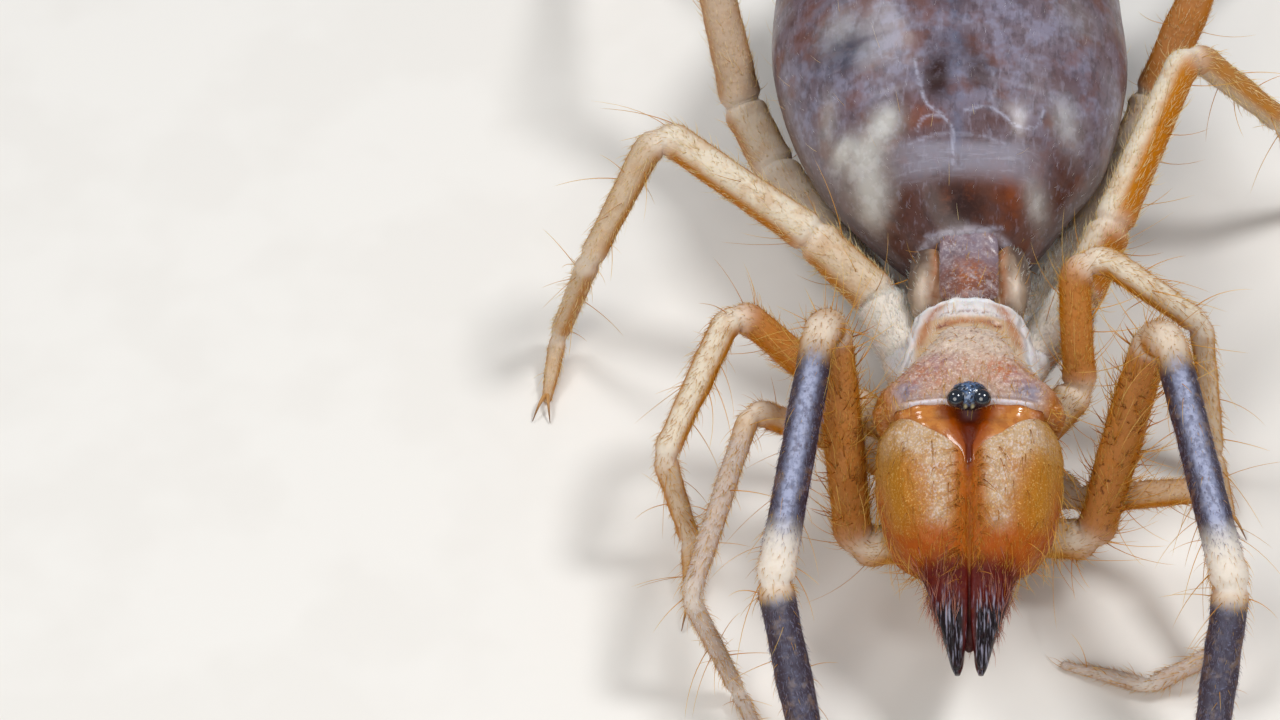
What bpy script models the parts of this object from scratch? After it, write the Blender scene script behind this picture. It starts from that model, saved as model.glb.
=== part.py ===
"""A gravid camel spider, life size, standing still with its feelers and legs on the floor.

All sizes below are in millimetres and become metres where a mesh is made. +Z is up, the animal
faces -Y, and +X is its left side. The design origin lies under the body; the last step moves the
whole animal so that the middle of its bounding box, at the floor, is the part's origin.
"""

import math

import bmesh
import bpy
import numpy as np

MM = 0.001
GAP = 0.3  # clearance between touching nodes
EYE_GAP = 0.12  # clearance between an eye and its socket
COLLECTION_NAME = "camel_spider"

# How square the oval rings are on their +X and their -X half; 2 is a true oval
HEAD_FULLNESS = (2.5, 2.5)
CHELICERA_FULLNESS = (2.1, 3.2)  # the left one: its inner face is flat
THORAX_FULLNESS = (2.6, 2.6)
WAIST_FULLNESS = (2.2, 2.2)
ABDOMEN_FULLNESS = (2.1, 2.1)

# Head shield: y, half width, top, bottom
HEAD_STATIONS = (
    (-6.0, 4.7, 13.9, 9.5),
    (-5.5, 5.35, 14.3, 9.1),
    (-4.6, 5.40, 14.55, 9.0),
    (-3.2, 4.40, 14.65, 9.0),
    (-1.6, 3.40, 14.35, 9.0),
    (-0.2, 2.60, 13.75, 9.2),
)
LOBE_CENTRE = (4.75, -5.2, 12.1)  # side lobe of the head shield
LOBE_SIZE = (1.0, 0.75, 1.25)
TUBERCLE_CENTRE = (0.0, -5.75, 14.6)
TUBERCLE_SIZE = (1.35, 0.85, 0.95)
EYE_CENTRE = (0.68, -6.25, 15.05)
EYE_RADIUS = 0.42

# Chelicera: distance in front of the design origin, outer edge, inner edge, top, bottom
CHELICERA_STATIONS = (
    (6.3, 5.05, 0.25, 13.4, 6.9),
    (7.2, 5.35, 0.18, 14.1, 6.3),
    (9.4, 5.25, 0.16, 14.0, 5.9),
    (11.3, 4.85, 0.16, 13.1, 5.8),
    (12.2, 4.45, 0.16, 12.3, 5.9),
    (12.8, 3.95, 0.16, 11.6, 7.25),
    (13.5, 3.35, 0.16, 10.9, 7.35),
    (14.3, 2.60, 0.18, 9.9, 7.30),
    (15.6, 2.10, 0.22, 8.7, 7.0),
    (16.9, 1.62, 0.30, 7.8, 6.55),
    (18.2, 1.10, 0.42, 6.7, 5.95),
    (18.9, 0.80, 0.50, 5.9, 5.55),
)
# Lower finger: distance in front, sideways, height, radius
FINGER_STATIONS = (
    (12.9, 1.85, 6.02, 0.80),
    (13.6, 1.68, 5.95, 0.78),
    (14.6, 1.38, 5.82, 0.70),
    (15.9, 1.10, 5.62, 0.56),
    (17.0, 0.92, 5.38, 0.42),
    (18.1, 0.76, 5.12, 0.26),
    (18.8, 0.66, 5.05, 0.12),
)
TOOTH_RADIUS = 0.2
TOOTH_ROOT = 0.25  # how deep a tooth stands in its finger
TOOTH_LENGTH = 0.36
TOOTH_LEAN = 0.08
SPIKE_SHOULDER = (0.6, 0.62)  # where along a tooth its shoulder sits, and its share of the radius
SPIKE_TIP = 0.12
UPPER_TEETH = (14.7, 15.5, 16.3, 17.1)  # distances in front
LOWER_TEETH = (15.1, 15.9, 16.7)

# Thorax below the head shield, and the waist behind it: y, half width, top, bottom
THORAX_STATIONS = (
    (-6.0, 3.2, 8.6, 3.9),
    (-3.0, 3.6, 8.7, 3.4),
    (0.0, 3.4, 8.5, 3.2),
    (2.2, 3.1, 6.6, 3.2),
    (6.4, 2.8, 6.0, 3.4),
    (7.4, 2.2, 5.8, 3.9),
)
WAIST_STATIONS = (
    (0.1, 2.6, 13.3, 6.2),
    (0.9, 3.0, 13.4, 5.5),
    (2.0, 2.7, 13.3, 5.5),
    (3.0, 2.2, 13.1, 5.5),
    (4.6, 2.1, 12.8, 6.0),
    (7.0, 2.3, 12.3, 7.2),
)
FLANK_CENTRE = (2.35, 4.3, 11.4)  # soft bulge beside the narrow plates of the waist
FLANK_SIZE = (1.15, 1.7, 1.1)
BREAST_CENTRE = (0.0, -6.2, 4.8)  # where the feelers' coxae meet, under the chelicerae
BREAST_SIZE = (2.8, 1.7, 1.1)
PELTIDIA = ((0.5, 1.8, 2.7), (2.1, 3.2, 2.3), (3.7, 6.4, 1.7))  # start, end, half width
ROSTRUM = ((0.0, -5.0, 5.4), (0.0, -8.4, 5.0), (0.0, -9.6, 4.9))
ROSTRUM_RADII = (0.75, 0.6, 0.3)
COXA_LENGTH = 4.4
COXA_SWELL = (0.9, 1.15, 1.0)  # base, middle and end, as shares of the trochanter's radius

# Abdomen: y, middle line in x, half width, top, bottom
ABDOMEN_STATIONS = (
    (7.3, -0.1, 2.3, 12.3, 7.2),
    (9.0, -0.3, 3.9, 13.6, 6.3),
    (12.2, -0.6, 7.0, 15.6, 5.9),
    (16.0, -0.85, 9.2, 17.4, 4.7),
    (20.0, -1.05, 10.4, 18.5, 3.7),
    (24.5, -1.2, 11.0, 19.0, 3.0),
    (29.0, -1.3, 10.8, 18.7, 3.1),
    (34.0, -1.3, 9.3, 17.2, 3.8),
    (38.5, -1.25, 6.6, 14.9, 5.2),
    (41.4, -1.2, 3.9, 12.7, 6.9),
    (42.9, -1.2, 1.7, 10.9, 8.6),
)
# Back plates of the abdomen: start, end, half width
TERGITES = (
    (9.3, 12.6, 2.1),
    (13.2, 16.2, 2.6),
    (16.9, 20.0, 2.9),
    (20.8, 23.9, 3.0),
    (24.7, 27.8, 3.0),
    (28.6, 31.4, 2.9),
    (32.2, 34.7, 2.6),
    (35.4, 37.4, 2.3),
    (38.0, 39.6, 1.9),
)
PLATE_RISE = 0.28
PLATE_EDGE = 0.3  # length of the slope at a plate's front and rear edge

# Each limb: the point where it leaves its coxa, then its segments from the body out.
# A segment is its name, length, yaw and pitch in degrees, and radius at base, middle and end.
# Yaw turns from +X towards +Y. The last segment has the height of its tip instead of a pitch.
# A segment named bend is a knee's short crown, shared by the two nodes that meet in it.
LIMBS = {
    "palp_right": (
        (-3.7, -8.0, 4.1),
        (
            ("trochanter", 3.2, -160, 10, 1.15, 1.25, 1.15),
            ("femur", 13.3, 98, 51, 1.15, 1.25, 1.10),
            ("bend", 2.8, -108, 43, 1.10, 1.15, 1.10),
            ("tibia", 14.8, -101, -28, 1.05, 1.05, 1.10),
            ("metatarsus", 11.4, -73, -49, 1.05, 1.10, 0.95),
            ("tarsus", 2.2, -70, 0.78, 0.95, 0.95, 0.80),
        ),
    ),
    "palp_left": (
        (4.1, -7.7, 4.1),
        (
            ("trochanter", 3.2, -12, 10, 1.15, 1.25, 1.15),
            ("femur", 12.7, 64, 55, 1.15, 1.25, 1.10),
            ("bend", 2.7, -62, 44, 1.10, 1.15, 1.10),
            ("tibia", 14.7, -76, -24, 1.05, 1.05, 1.10),
            ("metatarsus", 11.3, -102, -59, 1.05, 1.10, 0.95),
            ("tarsus", 2.2, -99, 0.78, 0.95, 0.95, 0.80),
        ),
    ),
    "leg1_right": (
        (-4.4, -3.7, 5.5),
        (
            ("trochanter", 2.6, 160, 26, 0.95, 1.00, 0.90),
            ("femur", 8.4, -162, 42, 0.85, 0.85, 0.75),
            ("tibia", 11.6, -108, -22, 0.65, 0.65, 0.60),
            ("metatarsus", 7.6, -30, -68, 0.58, 0.54, 0.50),
            ("tarsus", 4.4, -65, 0.26, 0.48, 0.42, 0.28),
        ),
    ),
    "leg1_left": (
        (4.3, -3.9, 5.2),
        (
            ("trochanter", 2.6, -22, -30, 0.95, 1.00, 0.90),
            ("femur", 9.0, -19, 28, 0.85, 0.85, 0.75),
            ("tibia", 9.1, -83, -33, 0.65, 0.65, 0.60),
            ("metatarsus", 5.2, -167, -27, 0.58, 0.54, 0.50),
            ("tarsus", 5.2, 159, 0.26, 0.48, 0.42, 0.28),
        ),
    ),
    "leg2_right": (
        (-4.7, -1.0, 6.1),
        (
            ("trochanter", 2.9, 155, 20, 1.15, 1.20, 1.10),
            ("femur", 9.2, 161, 41, 1.00, 1.00, 0.95),
            ("tibia", 9.9, -116, -24, 0.88, 0.85, 0.75),
            ("metatarsus", 7.4, -23, -80, 0.72, 0.68, 0.60),
            ("tarsus", 4.0, -88, 0.30, 0.55, 0.50, 0.34),
        ),
    ),
    "leg2_left": (
        (4.5, -1.0, 6.1),
        (
            ("trochanter", 3.0, 42, 26, 1.15, 1.20, 1.10),
            ("femur", 9.2, 95, 53, 1.00, 1.00, 0.95),
            ("tibia", 9.3, -21, -29, 0.88, 0.85, 0.75),
            ("metatarsus", 9.1, -71, -70, 0.72, 0.68, 0.60),
            ("tarsus", 4.0, -77, 0.30, 0.55, 0.50, 0.34),
        ),
    ),
    "leg3_right": (
        (-3.9, 3.2, 7.9),
        (
            ("trochanter", 3.9, 112, 12, 1.40, 1.55, 1.45),
            ("basifemur", 5.6, 142, 23, 1.40, 1.40, 1.30),
            ("femur", 11.3, 157, 28, 1.25, 1.15, 1.05),
            ("tibia", 9.0, -127, -39, 0.95, 0.85, 0.75),
            ("metatarsus", 9.6, 143, -70, 0.75, 0.70, 0.60),
            ("tarsus", 4.4, -98, 0.30, 0.55, 0.50, 0.34),
        ),
    ),
    "leg3_left": (
        (3.9, 3.2, 7.9),
        (
            ("trochanter", 4.4, 53, 11, 1.40, 1.55, 1.45),
            ("basifemur", 5.0, 63, 26, 1.40, 1.40, 1.30),
            ("femur", 11.9, 64, 26, 1.25, 1.15, 1.05),
            ("tibia", 8.4, -6, -44, 0.95, 0.85, 0.75),
            ("metatarsus", 9.6, 37, -67, 0.75, 0.70, 0.60),
            ("tarsus", 4.4, -70, 0.30, 0.55, 0.50, 0.34),
        ),
    ),
    "leg4_right": (
        (-4.0, 7.8, 5.0),
        (
            ("trochanter", 14.4, 124, 5, 1.45, 1.45, 1.35),
            ("basifemur", 5.0, 118, 19, 1.35, 1.40, 1.35),
            ("femur", 11.7, 111, 57, 1.35, 1.25, 1.10),
            ("tibia", 15.3, 112, -30, 1.00, 0.92, 0.80),
            ("metatarsus", 11.0, 120, -50, 0.80, 0.72, 0.60),
            ("tarsus", 5.6, 117, 0.30, 0.55, 0.50, 0.34),
        ),
    ),
    "leg4_left": (
        (4.0, 7.8, 5.0),
        (
            ("trochanter", 13.8, 65, 5, 1.45, 1.45, 1.35),
            ("basifemur", 4.7, 67, 20, 1.35, 1.40, 1.35),
            ("femur", 11.3, 46, 61, 1.35, 1.25, 1.10),
            ("tibia", 15.5, 67, -29, 1.00, 0.92, 0.80),
            ("metatarsus", 11.0, 61, -50, 0.80, 0.72, 0.60),
            ("tarsus", 5.6, 64, 0.30, 0.55, 0.50, 0.34),
        ),
    ),
}
# Limbs whose metatarsus and tarsus are one node, and limbs whose tarsus ends in two claws
ONE_PIECE_FEET = ("palp_right", "palp_left", "leg1_right", "leg1_left", "leg2_right", "leg2_left")
CLAWED = ("leg2", "leg3", "leg4")
KNEE_CLEAR = 0.55  # how far a turned corner's inner side stays from the centre of its turn
THICK_SIDES = 10
THIN_SIDES = 8
THICK_LIMIT = 1.3  # a limb above this radius has more sides
CORNER_SHARE = 0.48  # the most of a segment that one turned corner may take
CORNER_STEP = 54.0  # degrees of a turn to each pair of stations
STATION_APART = 0.5  # least distance of a station from a cut, so that no two rings cross
TIP_ROUNDING = ((0.55, 0.72), (0.8, 0.3))  # shares of the radius: how far on, and how thick
CLAW_LENGTH = 2.1
CLAW_SPREAD = 15.0  # degrees from the tarsus to either side
CLAW_ROOT_RADIUS = 0.26
CLAW_TIP_RADIUS = 0.08
CLAW_ARCH = 0.42
CLAW_ROOT_APART = 0.1
CLAW_ROOT_BACK = 0.35
CLAW_TIP_HEIGHT = 0.1

# Racket organs under the first stretch of each hind leg: distance out, and drop of the fan
MALLEOLI = ((1.6, 1.5), (3.6, 1.7), (5.8, 1.8))
MALLEOLUS_STALK_RADIUS = 0.26
MALLEOLUS_FAN_SIZE = (0.85, 0.3, 0.75)

COLOURS = {
    "bulb_cuticle": ("#D9A55A", 0.38),
    "finger_cuticle": ("#2B1D22", 0.25),
    "shield_cuticle": ("#DDB893", 0.42),
    "abdomen_membrane": ("#9A8A8C", 0.30),
    "limb_cuticle": ("#DDBD8A", 0.45),
    "feeler_cuticle": ("#6A6170", 0.45),
    "eye_lens": ("#0C1118", 0.08),
}


def linear(channel):
    """One sRGB channel, 0 to 1, as a linear value."""
    return channel / 12.92 if channel <= 0.04045 else ((channel + 0.055) / 1.055) ** 2.4


def make_materials():
    for name, (colour, roughness) in COLOURS.items():
        shell = bpy.data.materials.new(name)
        shell.use_nodes = True
        shader = shell.node_tree.nodes["Principled BSDF"]
        parts = [int(colour[k : k + 2], 16) / 255 for k in (1, 3, 5)]
        shader.inputs["Base Color"].default_value = (*[linear(c) for c in parts], 1.0)
        shader.inputs["Roughness"].default_value = roughness
        shader.inputs["Metallic"].default_value = 0.0


def direction(yaw, pitch):
    """The unit vector at these angles in degrees."""
    across, up = math.radians(yaw), math.radians(pitch)
    flat = math.cos(up)
    return np.array([flat * math.cos(across), flat * math.sin(across), math.sin(up)])


def unit(vector):
    return vector / np.linalg.norm(vector)


def unit_rows(rows):
    return rows / np.linalg.norm(rows, axis=1)[:, None]


def smooth_rows(table, places):
    """Rows of the table at these places along its first column, on a curve with no overshoot."""
    table = np.array(table, float)
    along = table[:, 0]
    steps = np.diff(along)
    slopes = np.diff(table, axis=0) / steps[:, None]
    tangents = np.zeros_like(table)
    tangents[0], tangents[-1] = slopes[0], slopes[-1]
    for k in range(1, len(table) - 1):
        same_way = slopes[k - 1] * slopes[k] > 0
        total = np.where(same_way, slopes[k - 1] + slopes[k], 1.0)
        tangents[k] = np.where(same_way, 2 * slopes[k - 1] * slopes[k] / total, 0.0)
    rows = []
    for place in places:
        k = int(np.clip(np.searchsorted(along, place) - 1, 0, len(steps) - 1))
        t = (place - along[k]) / steps[k]
        rows.append(
            (2 * t**3 - 3 * t**2 + 1) * table[k]
            + (t**3 - 2 * t**2 + t) * steps[k] * tangents[k]
            + (3 * t**2 - 2 * t**3) * table[k + 1]
            + (t**3 - t**2) * steps[k] * tangents[k + 1]
        )
    return rows


def face_outwards(shape):
    """Turns every face of a closed mesh to the outside."""
    bmesh.ops.recalc_face_normals(shape, faces=shape.faces)
    if shape.calc_volume(signed=True) < 0:
        bmesh.ops.reverse_faces(shape, faces=shape.faces)


def add_object(name, mesh, material):
    obj = bpy.data.objects.new(name, mesh)
    mesh.materials.clear()
    mesh.materials.append(bpy.data.materials[material])
    bpy.data.collections[COLLECTION_NAME].objects.link(obj)
    return obj


def loft(name, rings, material):
    """A closed skin over rings of points, which run anticlockwise seen against the loft."""
    shape = bmesh.new()
    rows = [[shape.verts.new(point * MM) for point in ring] for ring in rings]
    sides = len(rows[0])
    for row, after in zip(rows, rows[1:]):
        for k in range(sides):
            nxt = (k + 1) % sides
            shape.faces.new((row[k], row[nxt], after[nxt], after[k]))
    shape.faces.new(rows[0][::-1])
    shape.faces.new(rows[-1])
    face_outwards(shape)
    mesh = bpy.data.meshes.new(name)
    shape.to_mesh(mesh)
    shape.free()
    return add_object(name, mesh, material)


def upright_ring(x, y, half_width, top, bottom, sides, fullness, rise=None):
    """An oval ring in a plane across Y. Fullness is given for its +X and its -X half, and above
    2 squares that half; rise lifts points of the ring."""
    points = []
    for k in range(sides):
        angle = 2 * math.pi * (k + 0.5) / sides
        c, s = math.cos(angle), math.sin(angle)
        power = fullness[0] if c > 0 else fullness[1]
        reach = (abs(c) ** power + abs(s) ** power) ** (-1 / power)
        across, up = half_width * c * reach, (top - bottom) / 2 * s * reach
        lift = rise(across, s) if rise else 0.0
        points.append(np.array([x + across, y, (top + bottom) / 2 + up + lift]))
    return points


def tube(name, points, radii, material, bevel_resolution=2):
    """A round tube through the points, with flat caps and a radius at each point, as a mesh."""
    curve = bpy.data.curves.new(name, "CURVE")
    curve.dimensions = "3D"
    curve.bevel_depth = MM
    curve.bevel_resolution = bevel_resolution
    curve.use_fill_caps = True
    spline = curve.splines.new("POLY")
    spline.points.add(len(points) - 1)
    for knot, point, radius in zip(spline.points, points, radii):
        knot.co = (*(np.array(point) * MM), 1.0)
        knot.radius = radius
    guide = bpy.data.objects.new(name + "_guide", curve)
    bpy.context.scene.collection.objects.link(guide)
    graph = bpy.context.evaluated_depsgraph_get()
    mesh = bpy.data.meshes.new_from_object(guide.evaluated_get(graph))
    bpy.data.objects.remove(guide)
    bpy.data.curves.remove(curve)
    mesh.name = name
    shape = bmesh.new()
    shape.from_mesh(mesh)
    bmesh.ops.remove_doubles(shape, verts=shape.verts, dist=1e-6)
    face_outwards(shape)
    shape.to_mesh(mesh)
    shape.free()
    return add_object(name, mesh, material)


def ball(name, centre, size, material, segments=16, rings=10):
    shape = bmesh.new()
    bmesh.ops.create_uvsphere(shape, u_segments=segments, v_segments=rings, radius=1.0)
    bmesh.ops.scale(shape, vec=[s * MM for s in size], verts=shape.verts)
    bmesh.ops.translate(shape, vec=[c * MM for c in centre], verts=shape.verts)
    mesh = bpy.data.meshes.new(name)
    shape.to_mesh(mesh)
    shape.free()
    return add_object(name, mesh, material)


def spike(name, root, tip, radius, material):
    """A pointed cone from root to tip, with a shoulder on the way."""
    root, tip = np.array(root), np.array(tip)
    shoulder = root + SPIKE_SHOULDER[0] * (tip - root)
    radii = (radius, radius * SPIKE_SHOULDER[1], radius * SPIKE_TIP)
    return tube(name, [root, shoulder, tip], radii, material, 1)


def apply_modifiers(obj):
    graph = bpy.context.evaluated_depsgraph_get()
    mesh = bpy.data.meshes.new_from_object(obj.evaluated_get(graph))
    old = obj.data
    obj.modifiers.clear()
    obj.data = mesh
    bpy.data.meshes.remove(old)


def keep_largest(obj):
    """Drops every closed surface of the mesh but the largest."""
    shape = bmesh.new()
    shape.from_mesh(obj.data)
    bmesh.ops.remove_doubles(shape, verts=shape.verts, dist=1e-6)
    groups, seen = [], set()
    for start in shape.faces:
        if start in seen:
            continue
        group, stack = [], [start]
        seen.add(start)
        while stack:
            face = stack.pop()
            group.append(face)
            for edge in face.edges:
                for near in edge.link_faces:
                    if near not in seen:
                        seen.add(near)
                        stack.append(near)
        groups.append(group)
    groups.sort(key=lambda group: sum(face.calc_area() for face in group))
    loose = [face for group in groups[:-1] for face in group]
    bmesh.ops.delete(shape, geom=loose, context="FACES")
    shape.to_mesh(obj.data)
    shape.free()


def fuse(body, pieces):
    """Joins the pieces to the body in one Boolean union, and removes them."""
    group = bpy.data.collections.new(body.name + "_pieces")
    for piece in pieces:
        group.objects.link(piece)
    union = body.modifiers.new("union", "BOOLEAN")
    union.operation = "UNION"
    union.operand_type = "COLLECTION"
    union.collection = group
    union.solver = "EXACT"
    apply_modifiers(body)
    for piece in pieces:
        bpy.data.objects.remove(piece)
    bpy.data.collections.remove(group)
    keep_largest(body)
    return body


def cut_away(body, cutter):
    cut = body.modifiers.new("cut", "BOOLEAN")
    cut.operation = "DIFFERENCE"
    cut.object = cutter
    cut.solver = "EXACT"
    apply_modifiers(body)
    bpy.data.objects.remove(cutter)
    keep_largest(body)
    return body


def rest_on_floor(obj):
    """Cuts a small flat where the piece reaches the floor."""
    shape = bmesh.new()
    shape.from_mesh(obj.data)
    geometry = shape.verts[:] + shape.edges[:] + shape.faces[:]
    cut = bmesh.ops.bisect_plane(
        shape, geom=geometry, plane_co=(0, 0, 0), plane_no=(0, 0, 1), clear_inner=True
    )
    rim = [item for item in cut["geom_cut"] if isinstance(item, bmesh.types.BMEdge)]
    if rim:
        bmesh.ops.holes_fill(shape, edges=rim, sides=0)
    face_outwards(shape)
    shape.to_mesh(obj.data)
    shape.free()


def mirrored(point, side):
    """The point on this side of the animal: +1 is its left, -1 its right."""
    return (side * point[0], point[1], point[2])


def build_head():
    places = np.linspace(HEAD_STATIONS[0][0], HEAD_STATIONS[-1][0], 13)
    rings = []
    for y, half_width, top, bottom in smooth_rows(HEAD_STATIONS, places):
        rings.append(upright_ring(0.0, y, half_width, top, bottom, 24, HEAD_FULLNESS))
    head = loft("head_shield", rings, "shield_cuticle")
    pieces = [ball("tubercle", TUBERCLE_CENTRE, TUBERCLE_SIZE, "shield_cuticle")]
    for side in (-1, 1):
        pieces.append(ball("lobe", mirrored(LOBE_CENTRE, side), LOBE_SIZE, "shield_cuticle"))
    fuse(head, pieces)
    socket = EYE_RADIUS + EYE_GAP
    for side, word in ((-1, "right"), (1, "left")):
        centre = mirrored(EYE_CENTRE, side)
        cut_away(head, ball("socket", centre, [socket] * 3, "eye_lens", 14, 8))
        ball("eye_" + word, centre, [EYE_RADIUS] * 3, "eye_lens", 14, 8)


def build_chelicera(side, word):
    first, last = CHELICERA_STATIONS[0][0], CHELICERA_STATIONS[-1][0]
    fullness = CHELICERA_FULLNESS if side > 0 else CHELICERA_FULLNESS[::-1]
    rings = []
    for ahead, outer, inner, top, bottom in smooth_rows(
        CHELICERA_STATIONS, np.linspace(first, last, 22)
    ):
        middle, half_width = side * (outer + inner) / 2, (outer - inner) / 2
        rings.append(upright_ring(middle, -ahead, half_width, top, bottom, 20, fullness))
    jaw = loft("chelicera_" + word, rings, "bulb_cuticle")
    teeth = []
    for row in smooth_rows(CHELICERA_STATIONS, UPPER_TEETH):
        ahead, outer, inner, _, bottom = row
        middle = side * (outer + inner) / 2
        root = (middle, -ahead, bottom + TOOTH_ROOT)
        tip = (middle, -ahead + TOOTH_LEAN, bottom - TOOTH_LENGTH)
        teeth.append(spike("tooth", root, tip, TOOTH_RADIUS, "finger_cuticle"))
    fuse(jaw, teeth)
    points = [(side * x, -ahead, z) for ahead, x, z, _ in FINGER_STATIONS]
    radii = [row[3] for row in FINGER_STATIONS]
    finger = tube("finger_" + word, points, radii, "finger_cuticle", 3)
    teeth = []
    for ahead, x, z, radius in smooth_rows(FINGER_STATIONS, LOWER_TEETH):
        root = (side * x, -ahead, z + radius - TOOTH_ROOT)
        tip = (side * x, -ahead + TOOTH_LEAN, z + radius + TOOTH_LENGTH)
        teeth.append(spike("tooth", root, tip, TOOTH_RADIUS, "finger_cuticle"))
    fuse(finger, teeth)


def plate_rise(plates, y):
    """How the back is lifted at y: a function of sideways place and of height on the ring."""
    for start, end, half_width in plates:
        if start <= y <= end:
            edge = min(y - start, end - y) / PLATE_EDGE
            height = PLATE_RISE * min(1.0, edge)
            return lambda across, up: height if up > 0 and abs(across) < half_width else 0.0
    return None


def plated_places(plates, first, last, step):
    """Ring places along a plated back: each plate's edges, and plain steps between them."""
    places = {first, last}
    for start, end, _ in plates:
        places |= {start, start + PLATE_EDGE, end - PLATE_EDGE, end}
    ordered = sorted(places)
    filled = []
    for here, after in zip(ordered, ordered[1:]):
        count = max(1, round((after - here) / step))
        filled += [here + (after - here) * k / count for k in range(count)]
    return filled + [last]


def limb_joints(limb):
    """The limb's joints from its root to its tip, and the radii of its segments."""
    root, segments = LIMBS[limb]
    joints = [np.array(root)]
    for k, (_, length, yaw, pitch, *_) in enumerate(segments):
        if k == len(segments) - 1:
            pitch = math.degrees(math.asin((pitch - joints[-1][2]) / length))
        joints.append(joints[-1] + length * direction(yaw, pitch))
    return joints, [segment[4:] for segment in segments]


def rounded_line(joints, radii):
    """The limb's middle line with its corners turned, as stations of distance, point and
    heading, and the same three for the middle of each corner."""
    heading = unit(joints[1] - joints[0])
    stations, middles = [(0.0, joints[0], heading)], []
    for k in range(1, len(joints) - 1):
        before, after = heading, unit(joints[k + 1] - joints[k])
        turn = math.acos(float(np.clip(before @ after, -1, 1)))
        turning = KNEE_CLEAR + (radii[k - 1][2] + radii[k][0]) / 2
        lengths = np.linalg.norm([joints[k] - joints[k - 1], joints[k + 1] - joints[k]], axis=1)
        trim = min(turning * math.tan(turn / 2), CORNER_SHARE * min(lengths))
        turning = trim / math.tan(turn / 2)
        inward, lean = unit(after - before), unit(after + before)
        centre = joints[k] + inward * turning / math.cos(turn / 2)
        count = max(2, 2 * math.ceil(math.degrees(turn) / CORNER_STEP))
        for step in range(count + 1):
            angle = turn * (step / count - 0.5)
            point = centre + turning * (math.sin(angle) * lean - math.cos(angle) * inward)
            heading = math.cos(angle) * lean + math.sin(angle) * inward
            travelled = stations[-1][0] + float(np.linalg.norm(point - stations[-1][1]))
            stations.append((travelled, point, heading))
            if step == count // 2:
                middles.append(stations[-1])
    travelled = stations[-1][0] + float(np.linalg.norm(joints[-1] - stations[-1][1]))
    stations.append((travelled, joints[-1], heading))
    return stations, middles


def node_cuts(limb, stations, middles):
    """The limb's node names, and where each node starts and ends on its rounded line."""
    segments = LIMBS[limb][1]
    cuts, names = [stations[0]], []
    for k, segment in enumerate(segments):
        last = k == len(segments) - 1
        if segment[0] == "bend":
            (low, first, _), (high, second, _) = middles[k - 1], middles[k]
            cuts.append(((low + high) / 2, (first + second) / 2, unit(second - first)))
            continue
        if last and limb in ONE_PIECE_FEET:
            continue
        names.append(segment[0])
        followed_by_bend = not last and segments[k + 1][0] == "bend"
        one_piece = k == len(segments) - 2 and limb in ONE_PIECE_FEET
        if not (followed_by_bend or one_piece or last):
            cuts.append(middles[k])
    return names, [*cuts, stations[-1]]


def limb_nodes(limb):
    """Cuts the limb's rounded line into the points, headings and radii of each node."""
    joints, radii = limb_joints(limb)
    stations, middles = rounded_line(joints, radii)
    distance = np.array([station[0] for station in stations])
    line = np.array([[*point, *heading] for _, point, heading in stations])
    corners = [0.0, *[middle[0] for middle in middles], distance[-1]]
    thick_at, thick = [], []
    for start, stop, sizes in zip(corners, corners[1:], radii):
        thick_at += [start + GAP / 2, (start + stop) / 2, stop - GAP / 2]
        thick += sizes
    wanted = sorted([*distance, *thick_at[1::3]])
    names, cuts = node_cuts(limb, stations, middles)
    nodes = []
    for name, start, stop in zip(names, cuts, cuts[1:]):
        low, high = start[0] + GAP / 2, stop[0] - GAP / 2
        inner = [d for d in wanted if low + STATION_APART < d < high - STATION_APART]
        rows = np.array([[np.interp(d, distance, line[:, k]) for k in range(6)] for d in inner])
        first, last = start[1] + start[2] * GAP / 2, stop[1] - stop[2] * GAP / 2
        points = [first, *rows[:, :3], last]
        headings = [start[2], *unit_rows(rows[:, 3:]), stop[2]]
        sizes = [float(np.interp(d, thick_at, thick)) for d in (low, *inner, high)]
        nodes.append((name, points, headings, sizes))
    return nodes


def tapered_end(points, headings, radii):
    """Rounds off the free end of a limb with two more, thinner stations."""
    tip, ahead, radius = points[-1], headings[-1], radii[-1]
    points = points + [tip + ahead * radius * further for further, _ in TIP_ROUNDING]
    radii = radii + [radius * share for _, share in TIP_ROUNDING]
    return points, headings + [ahead] * len(TIP_ROUNDING), radii


def round_rings(points, headings, radii, sides):
    """Circles round the points, each across its heading, turned as little as can be."""
    up = np.array([0.0, 0.0, 1.0])
    rings = []
    for point, heading, radius in zip(points, headings, radii):
        up = unit(up - (up @ heading) * heading)
        across = np.cross(heading, up)
        angles = [2 * math.pi * k / sides for k in range(sides)]
        rings.append([point + radius * (math.cos(a) * across + math.sin(a) * up) for a in angles])
    return rings


def claws(tip, yaw, material):
    """Two curved claws that arch forward from the tip of a tarsus and down to the floor."""
    made = []
    for side in (-1, 1):
        ahead = direction(yaw + side * CLAW_SPREAD, 0)
        across = direction(yaw + side * 90, 0)
        root = np.array(tip) + across * CLAW_ROOT_APART - ahead * CLAW_ROOT_BACK
        points, radii = [], []
        for k in range(6):
            t = k / 5
            height = tip[2] * (1 - t) + CLAW_TIP_HEIGHT * t + CLAW_ARCH * math.sin(math.pi * t**0.8)
            spot = root + ahead * CLAW_LENGTH * t
            points.append((spot[0], spot[1], height))
            radii.append(CLAW_ROOT_RADIUS + (CLAW_TIP_RADIUS - CLAW_ROOT_RADIUS) * t**1.3)
        made.append(tube("claw", points, radii, material, 1))
    return made


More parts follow.
